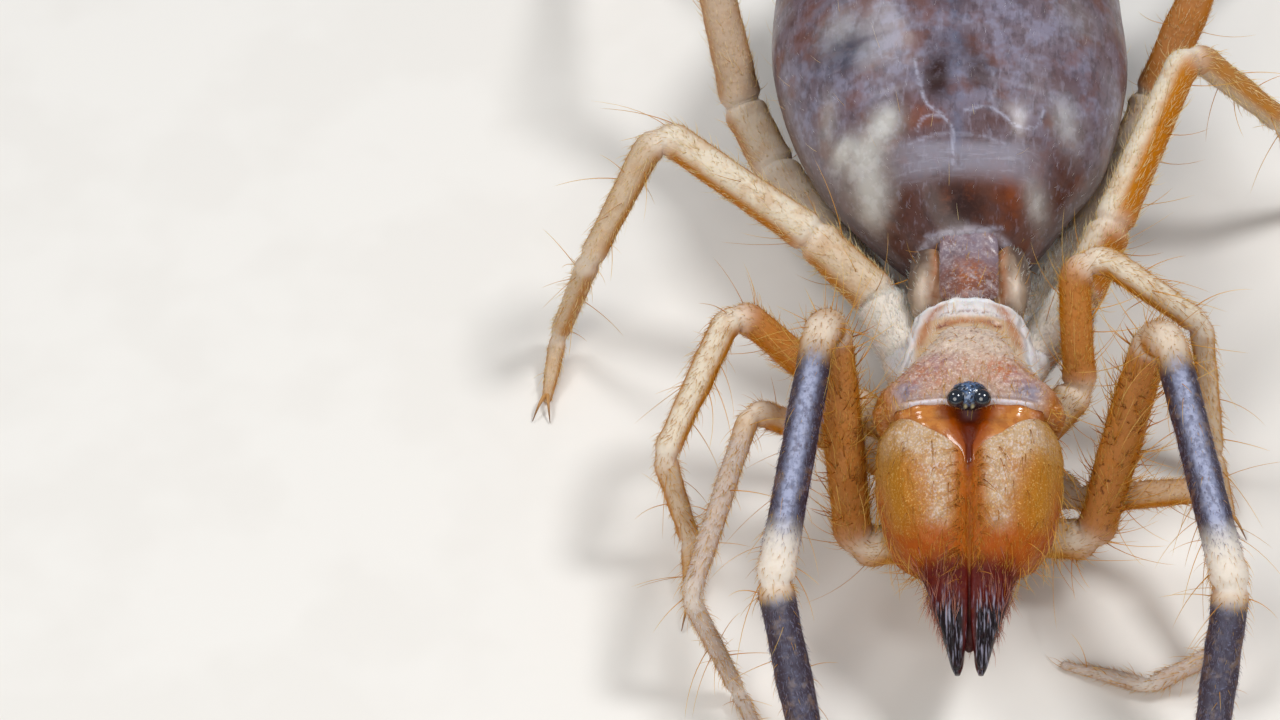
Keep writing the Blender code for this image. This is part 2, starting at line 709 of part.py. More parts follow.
def malleoli(limb):
    """Short stalks with a fan at the end, hanging in a row under the first stretch."""
    root, segments = LIMBS[limb]
    _, _, yaw, pitch, radius, _, _ = segments[0]
    along = direction(yaw, pitch)
    made = []
    for out, drop in MALLEOLI:
        spot = np.array(root) + along * out
        foot = spot - np.array([0, 0, radius + drop - MALLEOLUS_FAN_SIZE[2]])
        stalk = (MALLEOLUS_STALK_RADIUS,) * 2
        made.append(tube("stalk", [spot, foot], stalk, "limb_cuticle", 1))
        made.append(ball("fan", foot, MALLEOLUS_FAN_SIZE, "limb_cuticle", 8, 6))
    return made


def build_limb(limb):
    segments = LIMBS[limb][1]
    for name, points, headings, radii in limb_nodes(limb):
        feeler = limb.startswith("palp") and name in ("tibia", "metatarsus")
        material = "feeler_cuticle" if feeler else "limb_cuticle"
        reaches_tip = name == "tarsus" or (name == "metatarsus" and limb in ONE_PIECE_FEET)
        tip = points[-1]
        if reaches_tip:
            points, headings, radii = tapered_end(points, headings, radii)
        sides = THICK_SIDES if max(radii) > THICK_LIMIT else THIN_SIDES
        node = loft(limb + "_" + name, round_rings(points, headings, radii, sides), material)
        if reaches_tip:
            if limb.startswith(CLAWED):
                fuse(node, claws(tip, segments[-1][2], material))
            rest_on_floor(node)
        if name == "trochanter" and limb.startswith("leg4"):
            fuse(node, malleoli(limb))


def build_thorax():
    first, last = THORAX_STATIONS[0][0], THORAX_STATIONS[-1][0]
    rings = []
    for y, half_width, top, bottom in smooth_rows(THORAX_STATIONS, np.linspace(first, last, 9)):
        rings.append(upright_ring(0.0, y, half_width, top, bottom, 20, THORAX_FULLNESS))
    thorax = loft("thorax", rings, "shield_cuticle")
    first, last = WAIST_STATIONS[0][0], WAIST_STATIONS[-1][0]
    rings = []
    places = plated_places(PELTIDIA, first, last, 1.2)
    for y, half_width, top, bottom in smooth_rows(WAIST_STATIONS, places):
        rise = plate_rise(PELTIDIA, y)
        rings.append(upright_ring(0.0, y, half_width, top, bottom, 24, WAIST_FULLNESS, rise))
    pieces = [loft("waist", rings, "shield_cuticle")]
    pieces.append(tube("rostrum", ROSTRUM, ROSTRUM_RADII, "shield_cuticle", 2))
    pieces.append(ball("breast", BREAST_CENTRE, BREAST_SIZE, "shield_cuticle"))
    for side in (-1, 1):
        pieces.append(ball("flank", mirrored(FLANK_CENTRE, side), FLANK_SIZE, "shield_cuticle"))
    for limb, (root, segments) in LIMBS.items():
        _, _, yaw, pitch, radius, _, _ = segments[0]
        ahead = direction(yaw, pitch)
        start, end = np.array(root) - COXA_LENGTH * ahead, np.array(root) - GAP / 2 * ahead
        middle = (start + end) / 2
        swollen = [radius * share for share in COXA_SWELL]
        pieces.append(tube("coxa", [start, middle, end], swollen, "shield_cuticle", 3))
    fuse(thorax, pieces)


def build_abdomen():
    first, last = ABDOMEN_STATIONS[0][0], ABDOMEN_STATIONS[-1][0]
    rings = []
    places = plated_places(TERGITES, first, last, 1.9)
    for y, middle, half_width, top, bottom in smooth_rows(ABDOMEN_STATIONS, places):
        rise = plate_rise(TERGITES, y)
        rings.append(upright_ring(middle, y, half_width, top, bottom, 30, ABDOMEN_FULLNESS, rise))
    loft("abdomen", rings, "abdomen_membrane")


def centre_on_origin():
    """Moves every mesh so that the middle of the whole box, at the floor, is the origin."""
    objects = bpy.data.collections[COLLECTION_NAME].objects
    points = [vert.co for obj in objects for vert in obj.data.vertices]
    middle = [(max(p[k] for p in points) + min(p[k] for p in points)) / 2 for k in (0, 1)]
    for obj in objects:
        for vert in obj.data.vertices:
            vert.co.x -= middle[0]
            vert.co.y -= middle[1]


def main():
    for obj in list(bpy.data.objects):
        bpy.data.objects.remove(obj)
    collection = bpy.data.collections.new(COLLECTION_NAME)
    bpy.context.scene.collection.children.link(collection)
    make_materials()
    build_head()
    for side, word in ((-1, "right"), (1, "left")):
        build_chelicera(side, word)
    build_thorax()
    build_abdomen()
    for limb in LIMBS:
        build_limb(limb)
    centre_on_origin()
    for obj in collection.objects:
        obj.data.shade_smooth()
        obj.data.set_sharp_from_angle(angle=math.radians(40))


main()
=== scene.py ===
"""The looks of a gravid camel spider, life size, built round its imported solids.

Sizes are in millimetres in the animal's own frame: +Z is up, the animal faces -Y, and +X is its
left side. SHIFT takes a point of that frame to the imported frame, which is in metres. Skins are
worked out as arrays of points, painted with masks, and carry coats of separate mesh bristles.
Numbers in the functions that paint are places in that frame, and strengths from 0 to 1.
"""

import math

import bpy
import numpy as np
from mathutils import Matrix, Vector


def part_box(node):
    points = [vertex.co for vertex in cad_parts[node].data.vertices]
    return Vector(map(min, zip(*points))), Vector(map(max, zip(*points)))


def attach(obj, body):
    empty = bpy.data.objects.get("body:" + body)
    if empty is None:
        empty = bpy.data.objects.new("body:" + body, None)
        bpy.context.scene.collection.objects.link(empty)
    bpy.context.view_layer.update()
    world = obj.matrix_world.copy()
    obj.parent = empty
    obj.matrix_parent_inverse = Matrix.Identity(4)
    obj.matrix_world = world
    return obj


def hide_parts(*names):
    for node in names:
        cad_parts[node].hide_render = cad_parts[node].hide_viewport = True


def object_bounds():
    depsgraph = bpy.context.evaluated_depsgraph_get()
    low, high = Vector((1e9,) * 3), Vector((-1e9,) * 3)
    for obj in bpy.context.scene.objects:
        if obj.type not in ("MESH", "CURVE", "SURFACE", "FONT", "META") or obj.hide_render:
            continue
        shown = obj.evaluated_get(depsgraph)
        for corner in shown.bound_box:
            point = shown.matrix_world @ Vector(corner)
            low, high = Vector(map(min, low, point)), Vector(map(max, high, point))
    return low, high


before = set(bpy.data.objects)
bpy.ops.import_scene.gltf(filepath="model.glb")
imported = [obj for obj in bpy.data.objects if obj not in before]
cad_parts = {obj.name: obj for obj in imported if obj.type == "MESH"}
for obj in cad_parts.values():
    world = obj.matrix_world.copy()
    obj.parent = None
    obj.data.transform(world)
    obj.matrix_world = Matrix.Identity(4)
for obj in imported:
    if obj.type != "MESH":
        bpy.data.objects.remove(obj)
cad_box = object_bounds()

MM = 0.001
EYE_CENTRE = np.array([0.68, -6.25, 15.05])
eye_low, eye_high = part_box("eye_left")
SHIFT = (np.array(eye_low) + np.array(eye_high)) / 2 / MM - EYE_CENTRE
SHIFT[2] = 0.0
BOX_EASE = 0.3  # how far a bristle may reach past the solids' box
BOX_LOW = np.array(cad_box[0]) / MM - SHIFT - BOX_EASE
BOX_HIGH = np.array(cad_box[1]) / MM - SHIFT + BOX_EASE
FLOOR_CLEAR = 0.02
PATCH_RADIUS = 0.0015  # of a bristle's patch on the OFBake map
BRISTLE_TAPER = 0.7
SHORTENINGS = 3  # how often a bristle that would leave the box may be made shorter
SHORTENING = 0.55

# Head shield: y, middle in x, half width, top, bottom
HEAD_STATIONS = (
    (-6.0, 0.0, 4.7, 13.9, 9.5),
    (-5.5, 0.0, 5.35, 14.3, 9.1),
    (-4.6, 0.0, 5.40, 14.55, 9.0),
    (-3.2, 0.0, 4.25, 14.65, 9.0),
    (-1.6, 0.0, 3.15, 14.35, 9.0),
    (-0.1, 0.0, 2.4, 13.8, 9.2),
    (0.75, 0.0, 1.95, 13.4, 9.6),
)
LOBE_CENTRE = (4.75, -5.2, 12.1)
LOBE_SIZE = (0.75, 0.6, 1.05)
TUBERCLE_CENTRE = (0.0, -5.75, 14.6)
TUBERCLE_SIZE = (1.15, 0.80, 0.85)
LENS_CENTRE = (0.74, -6.22, 14.95)
LENS_RADIUS = 0.53

# Chelicera: distance in front, outer edge, inner edge, top, bottom
CHELICERA_STATIONS = (
    (5.5, 4.80, 0.12, 13.3, 7.4),
    (6.3, 5.10, 0.08, 13.75, 6.9),
    (7.2, 5.35, 0.06, 14.0, 6.3),
    (9.4, 5.25, 0.06, 14.0, 5.9),
    (11.3, 4.85, 0.06, 13.1, 5.8),
    (12.2, 4.45, 0.06, 12.3, 5.9),
    (12.8, 3.95, 0.06, 11.6, 7.25),
    (13.5, 3.35, 0.06, 10.9, 7.35),
    (14.3, 2.60, 0.06, 9.9, 7.30),
    (15.6, 2.10, 0.08, 8.7, 7.0),
    (16.9, 1.50, 0.12, 7.9, 6.6),
    (17.9, 1.12, 0.30, 6.95, 6.1),
    (18.5, 0.86, 0.50, 6.2, 5.75),
)
# Rear edge of a jaw's top: distance from the seam, distance in front
JAW_EDGE = (
    (0.0, 9.9),
    (0.3, 9.3),
    (0.6, 8.85),
    (1.4, 8.15),
    (2.5, 7.4),
    (3.6, 6.6),
    (4.4, 5.85),
    (5.6, 5.0),
)
JAW_ROUNDING = 0.4  # how far from its rear end a jaw is rounded off
JAW_FULLNESS = (2.1, 12.0)  # outer and inner half; a higher value is squarer
SEAM_VALLEY = (0.1, 0.55)  # depth and half width of the valley over the seam
# Whitish streak on a jaw: distance from the seam, and place along Y
JAW_STREAK = ((3.1, -7.2), (2.7, -8.5), (2.1, -10.5), (1.75, -12.3), (1.6, -13.4))
JAW_SECOND_STREAK = ((2.2, -6.9), (1.6, -8.0), (1.35, -9.6), (1.5, -11.2))
# Pale spots of a jaw by distance from the seam and in front
JAW_SPOTS = ((0.9, 2.9, 7.8, 2.1, 1.3, 3), (1, 1.75, 12.6, 0.5, 0.35), (1, 2.0, 13.3, 0.4, 0.4))
# Lower finger: distance in front, sideways, height, radius
FINGER_STATIONS = (
    (12.9, 1.78, 6.02, 0.80),
    (13.6, 1.58, 5.95, 0.80),
    (14.6, 1.24, 5.82, 0.74),
    (15.9, 0.94, 5.62, 0.64),
    (17.0, 0.76, 5.38, 0.50),
    (17.9, 0.68, 5.2, 0.34),
    (18.4, 0.66, 5.15, 0.16),
)
UPPER_TEETH = (14.5, 14.95, 15.4, 15.9, 16.35, 16.8, 17.2)
LOWER_TEETH = (14.9, 15.4, 15.9, 16.4, 16.8)
TOOTH_RADIUS = 0.17
TOOTH_LENGTH = 0.36
TOOTH_SINK = 0.2  # how far a tooth's root lies in its finger
TOOTH_LEAN = 0.08
TOOTH_POINT = 0.012  # radius of a tooth's tip

# Thorax and the waist behind it: y, middle in x, half width, top, bottom
THORAX_STATIONS = (
    (-6.0, 0.0, 3.2, 8.6, 3.9),
    (-3.0, 0.0, 3.6, 8.7, 3.4),
    (0.0, 0.0, 3.4, 8.5, 3.2),
    (2.2, 0.0, 3.1, 6.6, 3.2),
    (6.4, 0.0, 2.8, 6.0, 3.4),
    (7.4, 0.0, 2.2, 5.8, 3.9),
)
WAIST_STATIONS = (
    (-0.6, 0.0, 2.4, 12.6, 6.4),
    (0.9, 0.0, 2.9, 12.6, 5.5),
    (2.0, 0.0, 2.6, 12.6, 5.5),
    (3.0, 0.0, 2.1, 12.6, 5.5),
    (4.6, 0.0, 2.0, 12.6, 6.0),
    (7.6, 0.0, 2.2, 12.2, 7.2),
)
FLANK_CENTRE = (2.1, 6.9, 9.9)
FLANK_SIZE = (1.5, 3.6, 2.0)
# Soft white collar behind the head: y, middle in x, half width, top, bottom
COLLAR_STATIONS = (
    (-1.8, 0.0, 4.0, 12.3, 8.2),
    (-0.5, 0.0, 4.0, 12.85, 8.0),
    (1.0, 0.0, 3.8, 13.05, 8.0),
    (2.2, 0.0, 3.45, 13.1, 8.2),
    (3.0, 0.0, 2.85, 13.0, 8.6),
    (3.4, 0.0, 2.3, 12.8, 9.2),
)
COLLAR_BAND = ((1.7, 2.8), (2.15, 2.2), (2.5, 1.3), (2.85, 0.2))  # tan band: beside, behind
# First back plate: its start, end and half width, and the form it lies on
FIRST_PLATE = (3.15, 8.9, 1.75)
PLATE_BED = (
    (3.0, 0.0, 2.9, 12.7, 8.0),
    (4.8, 0.0, 3.0, 12.5, 8.0),
    (6.6, 0.0, 3.1, 12.4, 8.0),
    (7.6, 0.0, 3.3, 12.55, 8.0),
    (9.0, -0.1, 4.0, 12.9, 7.0),
)
BREAST_CENTRE = (0.0, -6.2, 4.8)
BREAST_SIZE = (2.8, 1.7, 1.1)
ROSTRUM_CENTRE = (0.0, -7.4, 5.1)
ROSTRUM_SIZE = (0.72, 2.2, 0.62)
COXA_LENGTH = 4.4
COXA_SWELL = (0.9, 1.15, 1.0)
MELT_VOXEL = 0.15  # grain at which the forms of the thorax melt into one skin
MELT_SMOOTHING = 5

# Abdomen: y, middle in x, half width, top, bottom
ABDOMEN_STATIONS = (
    (6.6, -0.1, 2.0, 12.1, 7.4),
    (7.3, -0.1, 2.3, 12.3, 7.2),
    (9.0, -0.3, 3.9, 13.6, 6.3),
    (12.2, -0.6, 7.0, 15.6, 5.9),
    (16.0, -0.85, 9.2, 17.4, 4.7),
    (20.0, -1.05, 10.4, 18.5, 3.7),
    (24.5, -1.2, 11.0, 19.0, 3.0),
    (29.0, -1.3, 10.8, 18.7, 3.1),
    (34.0, -1.3, 9.3, 17.2, 3.8),
    (38.5, -1.25, 6.6, 14.9, 5.2),
    (41.4, -1.2, 3.9, 12.7, 6.9),
    (42.9, -1.2, 1.7, 10.9, 8.6),
)
# Back plates of the abdomen: start, end, half width
TERGITES = (
    (8.4, 12.2, 2.1),
    (13.1, 16.2, 2.5),
    (16.9, 20.0, 2.8),
    (20.8, 23.9, 2.9),
    (24.7, 27.8, 2.9),
    (28.6, 31.4, 2.8),
    (32.2, 34.7, 2.5),
    (35.4, 37.4, 2.2),
    (38.0, 39.6, 1.8),
)

# Each kind of limb, by segment from the body out: its radius at base, middle and end, and its
# tint: cream on its back, laid on the lit side and so partly painted light, amber below, laid on
# the shaded side and so partly painted shade, violet grey, brown veil. A bend is a knee's short
# crown.
SEGMENTS = {
    "palp": {
        "trochanter": (1.15, 1.25, 1.15, (0.85, 0.35, 0.0, 0.0)),
        "femur": (1.15, 1.25, 1.10, (0.10, 1.00, 0.0, 0.0)),
        "bend": (1.10, 1.15, 1.10, (0.55, 0.45, 0.0, 0.0)),
        "tibia": (1.05, 1.05, 1.10, (0.70, 0.30, 1.0, 0.0)),
        "metatarsus": (1.05, 1.10, 0.95, (0.60, 0.35, 0.9, 0.1)),
        "tarsus": (0.95, 0.95, 0.80, (0.80, 0.20, 0.0, 0.1)),
    },
    "leg1": {
        "trochanter": (0.95, 1.00, 0.90, (0.80, 0.35, 0.0, 0.0)),
        "femur": (0.85, 0.85, 0.75, (0.55, 0.75, 0.0, 0.0)),
        "tibia": (0.65, 0.65, 0.60, (0.60, 0.40, 0.0, 0.15)),
        "metatarsus": (0.58, 0.54, 0.50, (0.55, 0.40, 0.0, 0.25)),
        "tarsus": (0.48, 0.42, 0.28, (0.80, 0.10, 0.0, 0.30)),
    },
    "leg2": {
        "trochanter": (1.15, 1.20, 1.10, (0.75, 0.40, 0.0, 0.0)),
        "femur": (1.00, 1.00, 0.95, (0.08, 1.00, 0.0, 0.0)),
        "tibia": (0.88, 0.85, 0.75, (1.00, 0.80, 0.0, 0.0)),
        "metatarsus": (0.72, 0.68, 0.60, (0.70, 0.60, 0.0, 0.1)),
        "tarsus": (0.55, 0.50, 0.34, (0.60, 0.40, 0.0, 0.2)),
    },
    "leg3": {
        "trochanter": (1.40, 1.55, 1.45, (1.00, 0.15, 0.0, 0.0)),
        "basifemur": (1.40, 1.40, 1.30, (0.75, 0.55, 0.0, 0.05)),
        "femur": (1.25, 1.15, 1.05, (1.00, 0.90, 0.0, 0.0)),
        "tibia": (0.95, 0.85, 0.75, (0.65, 0.45, 0.0, 0.35)),
        "metatarsus": (0.75, 0.70, 0.60, (0.60, 0.40, 0.0, 0.35)),
        "tarsus": (0.55, 0.50, 0.34, (0.60, 0.40, 0.0, 0.3)),
    },
    "leg4": {
        "trochanter": (1.45, 1.45, 1.35, (0.80, 0.35, 0.0, 0.3)),
        "basifemur": (1.35, 1.40, 1.35, (0.80, 0.40, 0.0, 0.45)),
        "femur": (1.35, 1.25, 1.10, (0.55, 0.60, 0.0, 0.45)),
        "tibia": (1.00, 0.92, 0.80, (0.60, 0.50, 0.0, 0.3)),
        "metatarsus": (0.80, 0.72, 0.60, (0.60, 0.50, 0.0, 0.3)),
        "tarsus": (0.55, 0.50, 0.34, (0.60, 0.50, 0.0, 0.3)),
    },
}
# Segments that the photograph tints otherwise than their pairs on the other side
OWN_TINTS = {
    ("leg3_left", "basifemur"): (0.9, 1.0, 0.0, 0.0),
    ("leg4_left", "femur"): (0.12, 1.0, 0.0, 0.0),
    ("leg4_right", "basifemur"): (0.8, 0.7, 0.0, 0.2),
}
# Each limb: its root, then the length, yaw and pitch in degrees of its segments from the body
# out. The last segment has the height of its tip instead of a pitch.
LIMBS = {
    "palp_right": (
        (-3.7, -8.0, 4.1),
        ((3.2, -160, 10), (13.3, 98, 51), (2.8, -108, 43),
         (14.8, -101, -28), (11.4, -73, -49), (2.2, -70, 0.78)),
    ),
    "palp_left": (
        (4.1, -7.7, 4.1),
        ((3.2, -12, 10), (12.7, 64, 55), (2.7, -62, 44),
         (14.7, -76, -24), (11.3, -102, -59), (2.2, -99, 0.78)),
    ),
    "leg1_right": (
        (-4.4, -3.7, 5.5),
        ((2.6, 160, 26), (8.4, -162, 42), (11.6, -108, -22), (7.6, -30, -68), (4.4, -65, 0.26)),
    ),
    "leg1_left": (
        (4.3, -3.9, 5.2),
        ((2.6, -22, -30), (9.0, -19, 28), (9.1, -83, -33), (5.2, -167, -27), (5.2, 159, 0.26)),
    ),
    "leg2_right": (
        (-4.7, -1.0, 6.1),
        ((2.9, 155, 20), (9.2, 161, 41), (9.9, -116, -24), (7.4, -23, -80), (4.0, -88, 0.30)),
    ),
    "leg2_left": (
        (4.5, -1.0, 6.1),
        ((3.0, 42, 26), (9.2, 95, 53), (9.3, -21, -29), (9.1, -71, -70), (4.0, -77, 0.30)),
    ),
    "leg3_right": (
        (-3.9, 3.2, 7.9),
        ((3.9, 112, 12), (5.6, 142, 23), (11.3, 157, 28),
         (9.0, -127, -39), (9.6, 143, -70), (4.4, -98, 0.30)),
    ),
    "leg3_left": (
        (3.9, 3.2, 7.9),
        ((4.4, 53, 11), (5.0, 63, 26), (11.9, 64, 26),
         (8.4, -6, -44), (9.6, 37, -67), (4.4, -70, 0.30)),
    ),
    "leg4_right": (
        (-4.0, 7.8, 5.0),
        ((14.4, 124, 5), (5.0, 118, 19), (11.7, 111, 57),
         (15.3, 112, -30), (11.0, 120, -50), (5.6, 117, 0.30)),
    ),
    "leg4_left": (
        (4.0, 7.8, 5.0),
        ((13.8, 65, 5), (4.7, 67, 20), (11.3, 46, 61),
         (15.5, 67, -29), (11.0, 61, -50), (5.6, 64, 0.30)),
    ),
}
# Hairs on a square mm of each kind of limb: down, bristles, long hairs
HAIRS_PER_MM2 = {
    "palp": (24, 2.6, 0.7),
    "leg1": (26, 2.0, 0.14),
    "leg2": (24, 2.2, 0.25),
    "leg3": (20, 1.5, 0.16),
    "leg4": (13, 0.9, 0.05),
}
# Coats: hair, how many on a square mm, length, radius, lean in degrees, how far the ends droop,
# how far they stray, how uneven the lengths are, and the joints of each. None: the limb's own.
COATS = {
    "down": (None, None, 0.38, 0.014, 40, 0.3, 0.5, 0.35, 2),
    "bristles": (None, None, 0.95, 0.02, 48, 0.35, 0.6, 0.35, 4),
    "long_hairs": ("golden", None, 3.4, 0.03, 62, 0.25, 0.5, 0.45, 7),
    "spines": ("amber", 1.6, 1.5, 0.04, 62, 0.15, 0.5, 0.35, 4),
    "dusk_down": ("violet", 16, 0.34, 0.012, 34, 0.3, 0.5, 0.35, 2),
    "pale_dust": ("white", 22, 0.2, 0.013, 40, 0.2, 0.6, 0.35, 2),
    "white_fuzz": ("white", 60, 0.42, 0.012, 40, 0.3, 0.7, 0.35, 2),
    "lobe_setae": ("golden", 5, 0.75, 0.022, 45, 0.2, 0.35, 0.35, 2),
    "head_fine_setae": ("golden", 8, 0.5, 0.014, 30, 0.3, 0.5, 0.35, 2),
    "head_setae": ("golden", 2.6, 0.75, 0.022, 40, 0.35, 0.6, 0.35, 4),
    "jaw_down": ("golden", 22, 0.26, 0.01, 26, 0.4, 0.5, 0.35, 2),
    "jaw_bristles": ("amber", 0.8, 1.0, 0.03, 48, 0.9, 0.5, 0.35, 6),
    "jaw_seam_bristles": ("rusty", 17, 1.05, 0.03, 40, 0.6, 0.22, 0.25, 6),
    "jaw_seam_down": ("rusty", 9, 0.55, 0.022, 38, 0.5, 0.3, 0.35, 4),
    "jaw_red_brush": ("red", 7, 1.0, 0.022, 24, 0.3, 0.35, 0.35, 4),
    "jaw_flank_bristles": ("golden", 2.2, 1.5, 0.024, 40, 0.4, 0.5, 0.35, 5),
    "jaw_seam_fringe": ("amber", 18, 0.5, 0.02, 44, 0.4, 0.35, 0.35, 4),
    "finger_brush": ("red", 14, 0.9, 0.018, 26, 0.3, 0.35, 0.35, 4),
    "collar_hairs": ("golden", 1.6, 0.8, 0.014, 30, 0.4, 0.6, 0.35, 4),
    "collar_fuzz": ("white", 14, 0.3, 0.009, 28, 0.3, 0.6, 0.35, 2),
    "thorax_fuzz": ("white", 22, 0.36, 0.012, 40, 0.3, 0.8, 0.35, 2),
    "thorax_hairs": ("golden", 0.7, 1.3, 0.02, 55, 0.3, 0.7, 0.35, 5),
    "back_plate_hairs": ("golden", 3, 0.5, 0.012, 40, 0.3, 0.6, 0.35, 2),
    "belly_down": ("white", 0.8, 0.3, 0.004, 14, 0.3, 0.5, 0.35, 2),
    "belly_hairs": ("straw", 0.05, 1.2, 0.013, 40, 0.3, 0.5, 0.35, 5),
}
KNEE_CLEAR = 0.55
CORNER_SHARE = 0.48
CLAW_LENGTH = 2.1
CLAW_SPREAD = 15.0
CLAW_ROOT_RADIUS = 0.24
CLAW_POINT_RADIUS = 0.03
CLAW_ARCH = 0.42
CLAWED = ("leg2", "leg3", "leg4")
# Racket organs: each one's place along the hind trochanter, and its length
MALLEOLI = ((1.6, 1.5), (2.6, 1.6), (3.6, 1.7), (4.7, 1.75), (5.8, 1.8))
STALK_HALF_WIDTH = 0.13
FAN_HALF_WIDTH = 0.62  # past the stalk's
RACKET_THICKNESS = 0.11
RACKET_SIDES = 26

HINGE_REAR = 5.3  # how far in front the soft fold between shield and jaws starts
HINGE_SINK = 0.06  # how far the fold lies below the jaws' tops
HINGE_HALF_HEIGHT = 1.1
SEAM_FLOOR = 0.24  # how far the skin over the seam dips at its middle
SEAM_HALF_WIDTH = 0.95
SEAM_WIDTHS = ((9.2, 0.3), (10.4, 1.0), (13.8, 1.0), (15.2, 0.7), (17.4, 0.45))  # ahead, share
SKIN_SHARE = 0.95  # a limb's skin, as a share of its solid's radius; its down fills the rest
COXA_OVERLAP = 0.6
END_ROUNDING = 10  # steps over the rounded end of a skin
THIN_END = 0.03  # a skin's least half width at its closed ends
PINCH = 0.17  # how much a limb narrows at a joint, and swells beside it
FLARE = 0.07
TIP_REACH = 0.8
ARC_POINTS = 25
LIMB_STEP = 0.13
# Cream is painted towards LIT_FROM and is partly painted light; amber away from it is partly painted shade
LIT_FROM = np.array([0.0, -0.35, 0.94])  # a limb is painted paler on this side
INNER_SIDE = np.array([-0.85, -0.25, 0.5])  # but the third left leg on this one, by the belly
BELLY_LEAN = 0.85  # how far the belly's middle line bends to the animal's right
# Air tubes seen through the belly: how clearly each shows, then its route of sideways place and
# distance behind the origin
AIR_TUBES = (
    (1.0, (-3.2, 17.9), (-2.9, 16.2), (-2.5, 15.1), (-1.5, 14.3), (-0.95, 13.4), (-0.94, 11.7)),
    (0.8, (-3.1, 13.6), (-2.9, 14.1), (-2.4, 14.4), (-1.5, 14.3)),
    (0.8, (-0.2, 14.6), (1.0, 14.9), (1.85, 14.6), (2.9, 14.0), (3.9, 14.1), (4.5, 15.4)),
    (0.35, (-8.4, 18.4), (-5.9, 18.6), (-3.8, 17.8)),
    (0.5, (-3.6, 12.9), (-1.8, 13.3), (0.4, 13.25), (2.15, 12.9)),
    (0.6, (-2.6, 8.5), (-0.4, 8.2), (2.0, 8.8)),
    (0.35, (1.0, 14.9), (1.6, 16.0), (1.4, 17.4)),
    (0.3, (-4.6, 16.6), (-4.0, 15.2), (-4.3, 13.8)),
)

# Spots of paint: strength, middle in x and y, half width, half length, and firmness where it
# isn't 2
HEAD_SPOTS = {
    "mottle": (
        (1, -2.9, -4.5, 1.2, 0.8),
        (1, 2.4, -3.7, 1.3, 0.9),
        (0.5, 0.0, -3.6, 2.4, 1.2),
        (0.55, -3.4, -3.0, 1.2, 1.0),
    ),
    "blush": ((1, -2.6, -3.6, 2.2, 1.3), (1, 2.8, -3.9, 1.6, 1.2), (0.5, -1.9, -2.9, 1.0, 0.8)),
    "lilac": ((1, -3.6, -4.85, 0.85, 0.6), (1, 3.45, -4.95, 1.0, 0.6), (0.55, 0.0, -5.42, 3.3, 0.2)),
}
PLATE_SPOTS = {
    "dark": (
        (1, 0.3, 3.5, 1.5, 0.35),
        (0.8, -1.1, 5.2, 0.5, 0.9),
        (0.7, 1.15, 4.9, 0.45, 0.8),
        (0.6, -0.9, 6.9, 0.6, 0.6),
    ),
    "rust": ((1, -0.2, 3.7, 0.4, 0.35), (1, 0.1, 5.4, 1.1, 1.1)),
    "bloom_and_painted_glint": ((0.65, 0.5, 4.4, 1.3, 0.7),),
}
BELLY_SPOTS = {
    "blotch": (
        (1, -5.0, 14.4, 1.0, 0.9),
        (1, -6.35, 13.1, 1.2, 1.0),
        (1, -7.6, 13.9, 0.7, 0.6),
        (1, -5.9, 10.9, 1.2, 1.2),
        (0.35, -6.1, 12.0, 0.8, 0.6),
        (0.55, 4.0, 10.6, 0.8, 0.8),
        (0.45, -8.5, 15.8, 0.55, 1.5),
        (0.5, 5.8, 15.2, 0.8, 1.3),
        (0.45, -7.8, 21.0, 1.2, 1.6),
        (0.2, 6.6, 22.5, 1.4, 1.6),
        (0.4, -6.2, 28.0, 1.8, 1.2),
    ),
    "brown": (
        (1, -4.0, 11.0, 1.1, 1.7),
        (0.8, -3.9, 15.0, 0.8, 1.6),
        (1, 2.6, 10.4, 1.3, 1.3),
        (1, 5.7, 12.0, 1.0, 1.4),
        (0.7, -6.2, 9.8, 2.2, 0.9),
        (0.8, 2.2, 14.2, 1.3, 0.45),
        (0.55, 5.2, 17.6, 1.6, 1.0),
    ),
    "dark": (
        (1, -0.5, 9.6, 1.9, 1.3, 3),
        (1, -1.9, 16.5, 0.95, 1.35, 3),
        (0.7, 0.7, 17.0, 0.8, 1.2, 3),
    ),
    "rust": (
        (1, -1.35, 9.85, 0.35, 0.5),
        (1, 0.1, 10.1, 0.35, 0.4),
        (0.4, 2.6, 10.3, 0.9, 1.0),
        (0.3, -2.9, 14.6, 0.9, 1.0),
    ),
    # slate: a painted dark reflection on the upper left
    "slate": ((1, -7.4, 19.4, 1.7, 1.3),),
}
# How many points go round each skin
BELLY_SIDES = 340
COLLAR_SIDES = 240
HEAD_SIDES = 200
HINGE_SIDES = 150
JAW_SIDES = 230
LEG_SIDES = 44
PALP_SIDES = 52
PLATE_SIDES = 130
SEAM_SIDES = 90

# Lamps: name, place, target, width, watts, tint
LAMPS = (
    ("key_lamp", (165, 20, 310), (0, 0, 10), 85, 0.58, "#FFFFFF"),
    ("second_lamp", (-165, 120, 290), (0, 5, 10), 100, 0.30, "#FFFFFF"),
    ("front_lamp", (-90, -270, 250), (0, -5, 8), 280, 0.72, "#FFFBF4"),
)
ROOM_LIGHT = 0.28

# The photograph's view: where its eyes are in pixels, and the lens that fits it
PHOTO_SIZE = (1280, 720)
PHOTO_EYES = (969, 396)
EYES_POINT = (0.0, -6.5, 15.5)
CAMERA_TILT = 50.0
CAMERA_DISTANCE = 235.0
FOCAL_PIXELS = 4144.6
SENSOR_WIDTH = 36.0
FLOOR_HALF = 1.5  # metres

PAINT_EDGE = 0.12  # how much noise lies between none and all of a mottled layer
CLOUD_SIZE = 0.9  # of the patches in which a finish's roughness varies
ROUGHNESS_SPREAD = 0.07
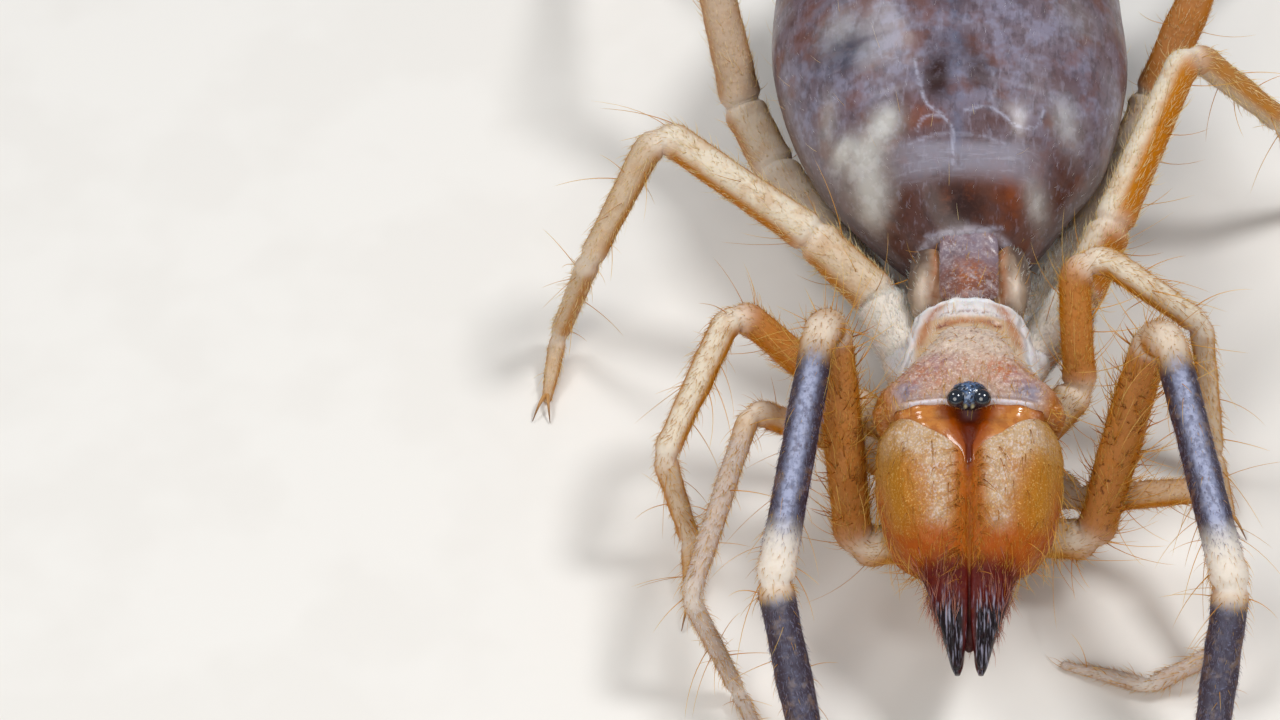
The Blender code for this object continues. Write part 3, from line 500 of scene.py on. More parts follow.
# A finish: its name, ground and roughness; grains of relief, each a size and a height in mm and
# whether it is cells or waves; the light that goes in and comes out again, as weight, depth in
# mm and share of red, or None; the shader's other constants; and its layers, as paint reads them.
# The granules of real chitin are finer than these grains, which are as coarse as it takes to show.
FINISHES = {
    # Thick chitin, hardened in life: granular, waxy cream that darkens to red and to black
    "jaw": (
        "chitin_granular_jaw", "#A87420", 0.5, ((0.16, 0.025, "cells"), (0.7, 0.05, "waves")),
        (0.12, 0.4, 1.0), {"Specular IOR Level": 0.2},
        (
            ("#A86000", "gold", 0.95, 1.5, 0.2, 0.4),
            ("#BCA082", "pale", 0.95, 1.1, 0.5, 0.42),
            ("#DCD4D6", "pale", 0.5, (0.13, 0.2, 0.13), 1.0, 0.5),
            ("#F2CC84", None, 0.5, 0.12, 1.0, 0.56),
            ("#A04A00", "rim", 0.97, 0.9, 0.2, 0.38),
            ("#A85400", "seam", 0.96, 0.5, 0.2, 0.38),
            # cleft: painted shade along the cleft between the jaws
            ("#5A1C02", "cleft", 0.9, 0.4, 0.2, 0.38),
            ("#500200", "red", 0.98, 0.45, 0.1, 0.36),
            ("#100A10", "black", 0.98, 0.4, 0.08, 0.36),
            # glint: painted grey-blue highlights along the ridges of the black fingers
            ("#A8A6BC", "glint", 0.65, (0.11, 1.1, 1.1), 1.0, 0.52),
        ),
    ),
    # The hardest chitin, rubbed smooth: black with a violet cast and painted grey-blue highlights
    # along its ridges
    "fang": (
        "chitin_black_fang", "#171018", 0.28, ((0.25, 0.012, "waves"),), None, {"Coat Weight": 0.3},
        (
            ("#4E0C06", "red", 0.95, 0.4, 0.3, 0.38),
            # glint: painted grey-blue highlights
            ("#A8A6BC", "glint", 0.6, (0.11, 1.1, 1.1), 1.0, 0.52),
        ),
    ),
    # Thin chitin over living tissue: pinkish cream, mottled orange, with lilac corners
    "shield": (
        "chitin_shield_mottled", "#BC9C84", 0.42, ((0.2, 0.02, "cells"), (1.1, 0.05, "waves")),
        (0.15, 0.5, 1.0), {},
        (
            ("#D8C6B6", "pale", 0.9, 0.7, 0.4, 0.4),
            ("#9C7278", "blush", 0.8, 0.36, 0.6, 0.42),
            ("#AE5E26", "mottle", 0.85, 0.4, 0.85, 0.48),
            ("#8A5E54", None, 0.5, 0.24, 1.0, 0.55),
            ("#F4EAE0", None, 0.45, 0.13, 1.0, 0.54),
            ("#716C82", "lilac", 0.92, 0.5, 0.4, 0.4),
            ("#A45E08", "amber", 0.98, 0.5, 0.15, 0.38),
            ("#E8C890", "amber", 0.45, 0.16, 1.0, 0.54),
            ("#6E3428", "dots", 0.85, 0.28, 1.0, 0.56),
            ("#DCD8E4", "edge", 0.97, 0.6, 0.1, 0.36),
        ),
    ),
    # A warty knob of dark chitin: blue-black with slate-blue tops to its warts
    "tubercle": (
        "chitin_warty_blue_black", "#0C1018", 0.24, ((0.2, 0.03, "cells"),), None, {"Coat Weight": 0.6},
        (
            ("#55709A", "crest", 0.9, 0.2, 0.85, 0.42),
            ("#B9B48E", "streaks", 0.9, 0.3, 0.2, 0.36),
        ),
    ),
    # A clear domed lens over a black eye: near black, and as glossy as glass
    "lens": (
        "lens_glassy_black", "#05070A", 0.1, (), None, {"Coat Weight": 1.0, "Coat Roughness": 0.03},
        (("#1D2A3C", None, 0.6, 0.5, 0.6, 0.45),),
    ),
    # Soft wet membrane of the jaw's hinge: glassy orange, with painted shade in the V, under the
    # head's rim and where it goes under the jaws, and a painted grey glint in the V
    "hinge": (
        "membrane_wet_orange", "#8E3C00", 0.24, ((0.5, 0.04, "waves"),), (0.15, 0.4, 1.0),
        {"Coat Weight": 0.6},
        (
            ("#C8843A", "light", 0.8, 0.6, 0.4, 0.42),
            # fold: painted shade in the creases
            ("#5C1C04", "fold", 0.97, 0.5, 0.1, 0.36),
            # a painted grey glint in the V
            ("#84747C", "bloom_and_painted_glint", 0.85, 0.5, 0.1, 0.36),
        ),
    ),
    # Pale skin of the thorax, pleated and dusted with fuzz: chalky white over cream, with painted
    # shade underneath and in the collar's folds
    "body": (
        "membrane_thorax_cream", "#C9AF92", 0.42, ((0.22, 0.02, "cells"), (0.8, 0.05, "waves")),
        (0.25, 0.7, 1.0), {},
        (
            ("#E2E4EA", "pale", 0.95, 0.8, 0.2, 0.38),
            ("#A85E20", "amber", 0.85, 0.6, 0.3, 0.42),
            ("#6A2418", "dots", 0.85, 0.26, 0.8, 0.46),
            # under: painted shade, below the thorax and in the troughs of the collar's folds
            ("#5E4A42", "under", 0.45, 1.5, 0.4, 0.42),
            ("#4A3630", "dusk", 0.95, 1.2, 0.2, 0.38),
        ),
    ),
    # Thin tubular chitin, clear enough that light comes through it: amber, laid on the shaded side and
    # so partly painted shade, cream on the lit side and so partly painted light, and a painted
    # highlight along the top of the violet segments
    "limb": (
        "chitin_limb_amber", "#B4761A", 0.45, ((0.2, 0.018, "cells"), (0.6, 0.035, "waves")),
        (0.1, 0.6, 0.75), {"Specular IOR Level": 0.08},
        (
            ("#AE6600", "amber", 0.99, 1.2, 0.1, 0.36),
            ("#DCD2C0", "cream", 0.95, 1.4, 0.3, 0.38),
            ("#94826E", "veil", 0.7, 1.3, 0.3, 0.4),
            ("#F0D49C", "cream", 0.35, 0.13, 1.0, 0.57),
            ("#BCAEA8", "dust", 0.85, 0.5, 0.35, 0.4),
            ("#332A38", "violet", 0.97, 0.8, 0.2, 0.36),
            # streak and glow: a painted highlight along the lit top of the violet segments
            ("#70758F", "streak", 0.95, (0.3, 0.7, 0.5), 0.75, 0.42),
            ("#A8AECA", "glow", 0.9, 0.35, 0.6, 0.42),
            ("#7E83A2", "violet", 0.5, 0.16, 1.0, 0.57),
            ("#4A1004", "spots", 0.85, 0.38, 1.0, 0.58),
            ("#E4DCD2", "joint", 0.95, 0.5, 0.2, 0.38),
        ),
    ),
    # Solid amber chitin drawn out to a dark point
    "claw": (
        "chitin_claw_amber", "#B98A52", 0.32, ((0.3, 0.01, "waves"),), None, {},
        (("#4A2412", "tip", 0.85, 0.5, 0.2, 0.4),),
    ),
    # Skin stretched over eggs: clear, wet looking and mauve-grey, with what lies under it showing
    # through as cream fat, brown gut and pale air tubes; its slate blue is a painted dark reflection
    # and painted shade
    "belly": (
        "membrane_belly_translucent", "#583A30", 0.42, ((0.4, 0.01, "waves"),), (0.2, 1.2, 1.0),
        {"Coat Weight": 0.4, "Coat Roughness": 0.2, "Specular IOR Level": 0.1},
        (
            ("#868398", "haze", 0.85, 1.6, 0.5, 0.44),
            ("#4A1E08", "brown", 0.97, 1.0, 0.25, 0.38),
            ("#2A181A", None, 0.34, (0.5, 1.1, 0.6), 1.0, 0.5),
            ("#A29EB2", None, 0.22, (0.25, 1.1, 0.5), 1.0, 0.55),
            ("#6E3C22", None, 0.5, 2.2, 1.0, 0.52),
            ("#9A9AAA", "band", 0.6, 2.2, 0.4, 0.36),
            ("#B4B4C4", "band", 0.22, (1.2, 0.2, 0.5), 1.0, 0.53),
            ("#BEBCB8", "blotch", 0.9, 1.8, 0.2, 0.36),
            ("#D2D2D2", "blotch", 0.35, 0.8, 1.0, 0.48),
            ("#9A4A12", "rust", 0.85, 0.4, 0.4, 0.42),
            ("#2A100A", "dark", 0.97, 0.45, 0.25, 0.38),
            ("#6A7490", "blue", 0.6, 0.9, 0.7, 0.42),
            ("#AEB0C4", "thread", 0.75, 0.4, 0.7, 0.42),
            ("#A9A4B0", "fold", 0.75, 0.5, 0.45, 0.42),
            # slate: a painted dark reflection and painted shade
            ("#1E2A42", "slate", 0.85, 1.3, 0.3, 0.4),
        ),
    ),
    # Small back plates of the waist: red-brown chitin with a white bloom
    "plate": (
        "chitin_plate_red_brown", "#744A40", 0.45, ((0.22, 0.025, "cells"), (0.6, 0.05, "waves")), None,
        {"Coat Weight": 0.15},
        (
            ("#7E7484", "haze", 0.9, 0.9, 0.4, 0.4),
            ("#3A2222", "dark", 0.85, 0.45, 0.7, 0.42),
            ("#A05A2A", "rust", 0.85, 0.35, 0.7, 0.42),
            ("#A7989C", "bloom_and_painted_glint", 0.8, 0.5, 1.0, 0.47),
            ("#D6CED2", "bloom_and_painted_glint", 0.6, 0.2, 1.0, 0.54),
        ),
    ),
}
# Hairs by colour at the root, at the tip and of the darker ones. Golden ones let light through,
# white ones scatter it, red ones carry pigment.
HAIRS = {
    "golden": ("#C8841E", "#EEC670", "#B47214"),
    "straw": ("#E6BC74", "#F8E8C0", "#D2A050"),
    "amber": ("#8E500C", "#D8902C", "#74400A"),
    "white": ("#EEEAE4", "#FFFFFF", "#DCD2C2"),
    "red": ("#520602", "#E89C84", "#380200"),
    "violet": ("#5A526C", "#A9A8C4", "#332C42"),
    "rusty": ("#8E4A0E", "#DC9440", "#70400C"),
}
HAIR_SHELL = {
    "Roughness": 0.35,
    "Specular IOR Level": 0.25,
    "Subsurface Weight": 0.2,
    "Subsurface Scale": 0.2 * MM,
}
SIDES = {"right": -1, "left": 1}
UP = np.array([0.0, 0.0, 1.0])


def hex_colour(text):
    """An sRGB hex colour as the linear values that shaders take."""
    parts = [int(text[k : k + 2], 16) / 255 for k in (1, 3, 5)]
    return (*[c / 12.92 if c <= 0.04045 else ((c + 0.055) / 1.055) ** 2.4 for c in parts], 1.0)


def direction(yaw, pitch):
    across, up = math.radians(yaw), math.radians(pitch)
    flat = math.cos(up)
    return np.array([flat * math.cos(across), flat * math.sin(across), math.sin(up)])


def unit(vectors):
    return vectors / np.maximum(np.linalg.norm(vectors, axis=-1, keepdims=True), 1e-12)


def ramp(values, start, end):
    """0 before start, 1 after end, and a smooth rise between them."""
    t = np.clip((values - start) / (end - start), 0.0, 1.0)
    return t * t * (3 - 2 * t)


def smooth_rows(table, places):
    """Rows of the table at these places along its first column, on a curve with no overshoot."""
    table = np.array(table, float)
    along = table[:, 0]
    steps = np.diff(along)
    slopes = np.diff(table, axis=0) / steps[:, None]
    tangents = np.zeros_like(table)
    tangents[0], tangents[-1] = slopes[0], slopes[-1]
    product = slopes[:-1] * slopes[1:]
    total = np.where(product > 0, slopes[:-1] + slopes[1:], 1.0)
    tangents[1:-1] = np.where(product > 0, 2 * product / total, 0.0)
    k = np.clip(np.searchsorted(along, places) - 1, 0, len(steps) - 1)
    step = steps[k][:, None]
    t = (np.array(places, float)[:, None] - along[k][:, None]) / step
    return (
        (2 * t**3 - 3 * t**2 + 1) * table[k]
        + (t**3 - 2 * t**2 + t) * step * tangents[k]
        + (3 * t**2 - 2 * t**3) * table[k + 1]
        + (t**3 - t**2) * step * tangents[k + 1]
    )


def unevenness(points, size, seed):
    """Smooth rises and hollows of about this size all over space, from about -1 to 1."""
    draw = np.random.default_rng(seed)
    total = np.zeros(points.shape[:-1])
    waves = 9
    for _ in range(waves):
        way = unit(draw.normal(size=3)) * 2 * math.pi / (size * draw.uniform(0.7, 1.5))
        total += np.sin(points @ way + draw.uniform(0, 2 * math.pi))
    return total / math.sqrt(waves)


def spot(x, y, place, size, firmness=2.0):
    """1 inside an oval spot, falling to 0 round its edge; a firmer spot has a sharper edge."""
    reach = ((x - place[0]) / size[0]) ** 2 + ((y - place[1]) / size[1]) ** 2
    return np.exp(-(reach ** (firmness / 2)))


def spots(x, y, rows):
    """Oval spots together, from 0 to 1. A row is strength, middle, half sizes and firmness."""
    total = sum(much * spot(x, y, (a, b), (c, d), *firm) for much, a, b, c, d, *firm in rows)
    return np.clip(total, 0, 1)


def bump(values, middle, width, power=2):
    """1 at the middle, falling to 0 beyond this width on either side."""
    return np.exp(-(((values - middle) / width) ** power))


def rounded(near):
    """A quarter circle's height, from 0 at its foot to 1 where near has reached 1."""
    return np.sqrt(1 - (1 - np.clip(near, 0, 1)) ** 2)


def circle(sides):
    """Cosine and sine of the steps round a ring."""
    angle = 2 * math.pi * (np.arange(sides) + 0.5) / sides
    return np.cos(angle)[None, :], np.sin(angle)[None, :]


def thread(x, y, route, width):
    """1 on a smooth line through the points of the route, falling to 0 beside it."""
    table = [(k, *place) for k, place in enumerate(route)]
    line = smooth_rows(table, np.linspace(0, len(route) - 1, 6 * len(route)))[:, 1:]
    nearest = np.full(x.shape, np.inf)
    for start, end in zip(line, line[1:]):
        way = end - start
        share = ((x - start[0]) * way[0] + (y - start[1]) * way[1]) / max(way @ way, 1e-9)
        share = np.clip(share, 0, 1)
        gap = np.hypot(x - start[0] - share * way[0], y - start[1] - share * way[1])
        nearest = np.minimum(nearest, gap)
    return bump(nearest, 0, width)


class Skin:
    """A closed surface, with what its paint and its coat need at each point."""

    def __init__(self, name, points, triangles, lie, unwrap, masks):
        corners = points[triangles]
        volume = np.einsum("ij,ij->", corners[:, 0], np.cross(corners[:, 1], corners[:, 2]))
        if volume < 0:
            triangles = triangles[:, ::-1]
            corners = points[triangles]
        facing = np.cross(corners[:, 1] - corners[:, 0], corners[:, 2] - corners[:, 0])
        normals = np.zeros_like(points)
        for axis in range(3):
            for corner in range(3):
                normals[:, axis] += np.bincount(
                    triangles[:, corner], facing[:, axis], minlength=len(points)
                )
        self.name = name
        self.points = points
        self.triangles = triangles
        self.normals = unit(normals)
        self.areas = np.linalg.norm(facing, axis=1) / 2
        self.lie = lie
        self.unwrap = unwrap
        self.masks = masks


def ring_normals(rings):
    along = np.gradient(rings, axis=0)
    around = np.roll(rings, -1, axis=1) - np.roll(rings, 1, axis=1)
    normals = unit(np.cross(around, along))
    outward = rings - rings.mean(axis=1, keepdims=True)
    return normals if np.sum(outward * normals) > 0 else -normals


def with_poles(grid):
    """Values on rings as one list, with the middle of the first and the last ring added."""
    ends = grid[[0, -1]].mean(axis=1)
    return np.concatenate([grid.reshape(-1, *grid.shape[2:]), ends])


def ring_skin(name, rings, masks=None):
    """A skin over rings of points, with a fan of triangles over each end."""
    count, sides = rings.shape[:2]
    row, column = np.meshgrid(np.arange(count - 1), np.arange(sides), indexing="ij")
    a = row * sides + column
    b = row * sides + (column + 1) % sides
    here = np.arange(sides)
    there = (here + 1) % sides
    last = (count - 1) * sides
    triangles = np.concatenate(
        [
            np.stack([a, b, b + sides], -1).reshape(-1, 3),
            np.stack([a, b + sides, a + sides], -1).reshape(-1, 3),
            np.stack([there, here, np.full(sides, count * sides)], -1),
            np.stack([last + here, last + there, np.full(sides, count * sides + 1)], -1),
        ]
    )
    steps = np.linalg.norm(np.diff(rings.mean(axis=1), axis=0), axis=1)
    travelled = np.concatenate([[0.0], np.cumsum(steps)])
    unwrap = np.zeros((count, sides, 2))
    unwrap[..., 0] = (here + 0.5) / sides
    unwrap[..., 1] = (travelled / travelled[-1])[:, None]
    lie = unit(np.gradient(rings, axis=0))
    paints = {}
    for key, grid in (masks or {}).items():
        paints[key] = with_poles(np.broadcast_to(grid, (count, sides)))
    return Skin(name, with_poles(rings), triangles, with_poles(lie), with_poles(unwrap), paints)


def oval_rings(stations, places, sides, fullness, rounding):
    """Rings across Y through stations of y, middle in x, half width, top and bottom. The ends
    are rounded off over the given length. Also gives how high round its ring each point is."""
    y, middle, half, top, bottom = smooth_rows(stations, places).T[:, :, None]
    c, s = circle(sides)
    reach = (np.abs(c) ** fullness + np.abs(s) ** fullness) ** (-1 / fullness)
    inset = rounding * (1 - rounded(np.minimum(y - y.min(), y.max() - y) / rounding))
    tall = (top - bottom) / 2
    x = middle + np.maximum(half - inset, THIN_END) * c * reach
    z = (top + bottom) / 2 + np.maximum(tall - inset, THIN_END) * s * reach
    return np.stack([x, np.broadcast_to(y, x.shape), z], -1), np.broadcast_to(s, x.shape)


def places_between(start, end, step, rounding):
    """Places along a skin, closer together where its ends are rounded."""
    bow = 1 - np.cos(np.linspace(0, math.pi / 2, END_ROUNDING))
    middle = np.arange(start + rounding, end - rounding, step)[1:]
    return np.concatenate([start + rounding * bow, middle, (end - rounding * bow)[::-1]])


def ball_skin(name, centre, size, masks=None, rows=48, sides=64):
    turn = np.linspace(0.02, math.pi - 0.02, rows)[:, None]
    angle = 2 * math.pi * np.arange(sides)[None, :] / sides
    x = np.sin(turn) * np.cos(angle)
    z = np.sin(turn) * np.sin(angle)
    y = np.broadcast_to(-np.cos(turn), x.shape)
    return ring_skin(name, np.array(centre) + np.stack([x, y, z], -1) * np.array(size), masks)


def rail_frames(line, first_up):
    """Headings along a line, and the up and side directions carried along it without twist."""
    headings = unit(np.gradient(line, axis=0))
    ups = [unit(first_up - (first_up @ headings[0]) * headings[0])]
    for heading in headings[1:]:
        ups.append(unit(ups[-1] - (ups[-1] @ heading) * heading))
    ups = np.array(ups)
    return headings, ups, np.cross(headings, ups)


def tube_rings(line, radii, first_up, sides, flatten=1.0):
    """Rings round a line; flatten below 1 narrows them sideways."""
    _, ups, across = rail_frames(line, first_up)
    c, s = circle(sides)
    round_line = flatten * c[..., None] * across[:, None] + s[..., None] * ups[:, None]
    return line[:, None] + radii[:, None, None] * round_line


def mesh_of(name, points, triangles, masks):
    mesh = bpy.data.meshes.new(name)
    mesh.vertices.add(len(points))
    mesh.vertices.foreach_set("co", ((points + SHIFT) * MM).astype(np.float32).ravel())
    mesh.loops.add(triangles.size)
    mesh.loops.foreach_set("vertex_index", triangles.astype(np.int32).ravel())
    mesh.polygons.add(len(triangles))
    starts = np.arange(0, triangles.size, 3, dtype=np.int32)
    mesh.polygons.foreach_set("loop_start", starts)
    mesh.update(calc_edges=True)
    mesh.shade_smooth()
    for key, values in masks.items():
        layer = mesh.attributes.new(key, "FLOAT", "POINT")
        layer.data.foreach_set("value", values.astype(np.float32))
    return mesh


def add_piece(name, mesh, finish, replaces=()):
    piece = bpy.data.objects.new(name, mesh)
    bpy.context.scene.collection.objects.link(piece)
    mesh.materials.append(finish)
    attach(piece, "root")
    if replaces:
        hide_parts(*replaces)


def add_skin(skin, finish, replaces=()):
    mesh = mesh_of(skin.name, skin.points, skin.triangles, skin.masks)
    add_piece(skin.name, mesh, finish, replaces)


def bristle_mesh(name, roots, aims, droops, lengths, radii, unwrap, drawn, joints):
    """Thin tapered bristles, three-sided, each curved from its root along its own aim."""
    count = len(roots)
    shares = np.linspace(0, 1, joints + 1)
    for _ in range(SHORTENINGS):
        tips = roots + lengths[:, None] * (aims + droops)
        outside = np.any((tips < BOX_LOW) | (tips > BOX_HIGH), axis=1)
        outside |= tips[:, 2] < FLOOR_CLEAR
        lengths = np.where(outside, lengths * SHORTENING, lengths)
    across = unit(np.cross(aims, UP + 0.01 * aims[:, [1, 2, 0]]))
    above = np.cross(across, aims)
    spine = roots[:, None] + lengths[:, None, None] * (
        aims[:, None] * shares[None, :, None] + droops[:, None] * shares[None, :, None] ** 2
    )
    angle = 2 * math.pi * np.arange(3) / 3
    around = np.cos(angle)[None, :, None] * across[:, None]
    around = around + np.sin(angle)[None, :, None] * above[:, None]
    thick = radii[:, None] * (1 - BRISTLE_TAPER * shares[None, :-1])
    rings = spine[:, :-1, None] + thick[..., None, None] * around[:, None]
    points = np.concatenate([rings.reshape(count, -1, 3), spine[:, -1:]], axis=1)
    points[..., 2] = np.maximum(points[..., 2], 0.0)
    each = points.shape[1]
    pattern = [(0, 2, 1)]
    for level in range(joints - 1):
        for k in range(3):
            a, b = 3 * level + k, 3 * level + (k + 1) % 3
            pattern += [(a, b, b + 3), (a, b + 3, a + 3)]
    top = 3 * (joints - 1)
    pattern += [(top + k, top + (k + 1) % 3, each - 1) for k in range(3)]
    triangles = (np.array(pattern)[None] + each * np.arange(count)[:, None, None]).reshape(-1, 3)
    tip = np.tile(np.append(np.repeat(shares[:-1], 3), 1.0), count)
    masks = {"draw": np.repeat(drawn, each), "tip": tip}
    mesh = mesh_of(name, points.reshape(-1, 3), triangles, masks)
    patch = np.tile(PATCH_RADIUS * np.stack([np.cos(angle), np.sin(angle)], -1), (joints, 1))
    fan = np.concatenate([patch * (1.2 - shares[:-1].repeat(3))[:, None], [[0, 0]]])
    places = (unwrap[:, None] + fan[None]).reshape(-1, 2)
    layer = mesh.uv_layers.new(name="OFBake")
    layer.data.foreach_set("uv", places[triangles.ravel()].astype(np.float32).ravel())
    return mesh


def coat(skin, name, kind, seed, finishes, where=None, lie=None, bend=None, own=(None, None)):
    """Grows one of the COATS on a skin: where (a share at each point), the way its bristles lie,
    the way their ends bend to, and the hair and the number on a square mm that the limb has."""
    hair, per_mm2, length, radius, lean, droop, stray, ragged, joints = COATS[kind]
    hair, per_mm2 = own[0] or hair, own[1] or per_mm2
    draw = np.random.default_rng(seed)
    chance = skin.areas.copy()
    if where is not None:
        chance *= np.clip(where, 0, None)[skin.triangles].mean(axis=1)
    count = int(per_mm2 * chance.sum())
    chosen = draw.choice(len(chance), count, p=chance / chance.sum())
    share = draw.dirichlet((1.0, 1.0, 1.0), count)
    corners = skin.triangles[chosen]

    def at_roots(values):
        weights = share if values.ndim == 1 else share[..., None]
        return (values[corners] * weights).sum(axis=1)

    normals = unit(at_roots(skin.normals))
    lie = at_roots(skin.lie) if lie is None else np.broadcast_to(np.array(lie), normals.shape)
    lie = unit(lie - (lie * normals).sum(-1, keepdims=True) * normals)
    tilt = np.radians(lean * draw.uniform(0.6, 1.4, count))[:, None]
    aims = lie * np.cos(tilt) + normals * np.sin(tilt) + stray * draw.normal(size=(count, 3)) * 0.5
    aims = unit(aims)
    bend = lie if bend is None else unit(np.array(bend, float))
    droops = droop * (bend - normals * 0.6) * draw.uniform(0.4, 1.4, (count, 1))
    size = length * draw.uniform(1 - ragged, 1 + ragged, count)
    girth = radius * draw.uniform(0.75, 1.25, count)
    roots = at_roots(skin.points) - normals * girth[:, None] * 1.5
    drawn = draw.uniform(0, 1, count)
    unwrap = skin.unwrap[corners[:, 0]]
    mesh = bristle_mesh(name, roots, aims, droops, size, girth, unwrap, drawn, joints)
    add_piece(name, mesh, finishes[hair])


def add(tree, kind, feeds=None, **settings):
    """Adds a shader node with its settings. A feed that is a socket is linked, any other is set."""
    node = tree.nodes.new(kind)
    for key, value in settings.items():
        setattr(node, key, value)
    for key, value in (feeds or {}).items():
        if isinstance(value, bpy.types.NodeSocket):
            tree.links.new(value, node.inputs[key])
        else:
            node.inputs[key].default_value = value
    return node


def paint(tree, place, ground, layers):
    """Colours laid over the ground. A layer is its colour, its mask or None for all over, its
    strength, then the size in mm of its mottling (one, or one for each axis), how much of it
    that breaks up, and the level of noise where the layer starts."""
    below = hex_colour(ground)
    for shade, mask, strength, size, broken, level in layers:
        scales = [1 / (s * MM) for s in (size if isinstance(size, tuple) else (size,) * 3)]
        spread = add(tree, "ShaderNodeVectorMath", {0: place, 1: scales}, operation="MULTIPLY").outputs[0]
        feeds = {"Vector": spread, "Scale": 1.0, "Detail": 3.0, "Roughness": 0.6}
        cloud = add(tree, "ShaderNodeTexNoise", feeds).outputs[0]
        reach = {0: cloud, 1: level, 2: level + PAINT_EDGE, 3: 1.0 - broken, 4: 1.0}
        amount = add(tree, "ShaderNodeMapRange", reach).outputs[0]
        amount = add(tree, "ShaderNodeMath", {0: amount, 1: strength}, operation="MULTIPLY").outputs[0]
        if mask:
            where = add(tree, "ShaderNodeAttribute", attribute_name=mask).outputs["Fac"]
            product = {0: amount, 1: where}
            amount = add(tree, "ShaderNodeMath", product, operation="MULTIPLY", use_clamp=True).outputs[0]
        mix = {0: amount, 6: below, 7: hex_colour(shade)}
        below = add(tree, "ShaderNodeMix", mix, data_type="RGBA").outputs[2]
    return below


def relief(tree, place, grains):
    """Small relief of several grains: size and height in mm, and whether it is cells or waves."""
    facing = {}
    for size, height, kind in grains:
        feeds = {"Vector": place, "Scale": 1 / (size * MM)}
        if kind == "cells":
            rise = add(tree, "ShaderNodeTexVoronoi", feeds, feature="SMOOTH_F1").outputs["Distance"]
        else:
            rise = add(tree, "ShaderNodeTexNoise", {**feeds, "Detail": 4.0}).outputs[0]
        feeds = {"Height": rise, "Distance": height * MM, **facing}
        facing = {"Normal": add(tree, "ShaderNodeBump", feeds).outputs[0]}
    return facing["Normal"]


def cuticle(name, ground, roughness, grains, glow, shell, layers):
    """A finish of chitin or membrane: paint over a ground, fine relief, a roughness that varies
    a little, light from within (weight, depth in mm, share of red), and its other constants."""
    finish = bpy.data.materials.new(name)
    finish.use_nodes = True
    tree = finish.node_tree
    shader = tree.nodes["Principled BSDF"]
    place = add(tree, "ShaderNodeTexCoord").outputs["Object"]
    tree.links.new(paint(tree, place, ground, layers), shader.inputs["Base Color"])
    if grains:
        tree.links.new(relief(tree, place, grains), shader.inputs["Normal"])
    feeds = {"Vector": place, "Scale": 1 / (CLOUD_SIZE * MM)}
    cloud = add(tree, "ShaderNodeTexNoise", feeds).outputs[0]
    low, high = roughness - ROUGHNESS_SPREAD, roughness + ROUGHNESS_SPREAD
    reach = {0: cloud, 1: 0.35, 2: 0.65, 3: low, 4: high}
    tree.links.new(add(tree, "ShaderNodeMapRange", reach).outputs[0], shader.inputs["Roughness"])
    if glow:
        weight, depth, red = glow
        shader.inputs["Subsurface Weight"].default_value = weight
        shader.inputs["Subsurface Scale"].default_value = depth * MM
        shader.inputs["Subsurface Radius"].default_value = (red, 0.55, 0.3)
    for key, value in shell.items():
        shader.inputs[key].default_value = value
    return finish


def bristle(name, root, tip, dark):
    """A hair of chitin: one colour at its root, another at its tip, some darker than others."""
    finish = bpy.data.materials.new(name)
    finish.use_nodes = True
    tree = finish.node_tree
    shader = tree.nodes["Principled BSDF"]
    along = add(tree, "ShaderNodeAttribute", attribute_name="tip").outputs["Fac"]
    drawn = add(tree, "ShaderNodeAttribute", attribute_name="draw").outputs["Fac"]
    ends = {0: along, 6: hex_colour(root), 7: hex_colour(tip)}
    colour = add(tree, "ShaderNodeMix", ends, data_type="RGBA").outputs[2]
    some = add(tree, "ShaderNodeMapRange", {0: drawn, 1: 0.45, 2: 1.0, 3: 0.0, 4: 0.75}).outputs[0]
    colour = add(tree, "ShaderNodeMix", {0: some, 6: colour, 7: hex_colour(dark)}, data_type="RGBA")
    tree.links.new(colour.outputs[2], shader.inputs["Base Color"])
    for key, value in HAIR_SHELL.items():
        shader.inputs[key].default_value = value
    return finish


def make_finishes():
    finishes = {word: cuticle(*row) for word, row in FINISHES.items()}
    for word, colours in HAIRS.items():
        finishes[word] = bristle("hair_chitin_" + word, *colours)
    return finishes


def mirrored(point, side):
    return (side * point[0], point[1], point[2])


def head_paint(x, y, z, facing_up):
    """Masks of the head shield at points of the design frame."""
    return {
        "pale": facing_up * ramp(y, -4.8, -1.6),
        **{key: spots(x, y, rows) for key, rows in HEAD_SPOTS.items()},
        "amber": np.clip(
            ramp(np.abs(x), 3.7, 4.7) * ramp(-z, -14.3, -13.1)
            + (1 - facing_up) * 0.6
            + ramp(-y, 5.84, 5.92),
            0,
            1,
        ),
        "dots": ramp(y, -1.6, -0.5) * facing_up * 0.7,
        "edge": bump(y, -5.74, 0.08) * ramp(-np.abs(x), -3.9, -3.3) * facing_up,
    }


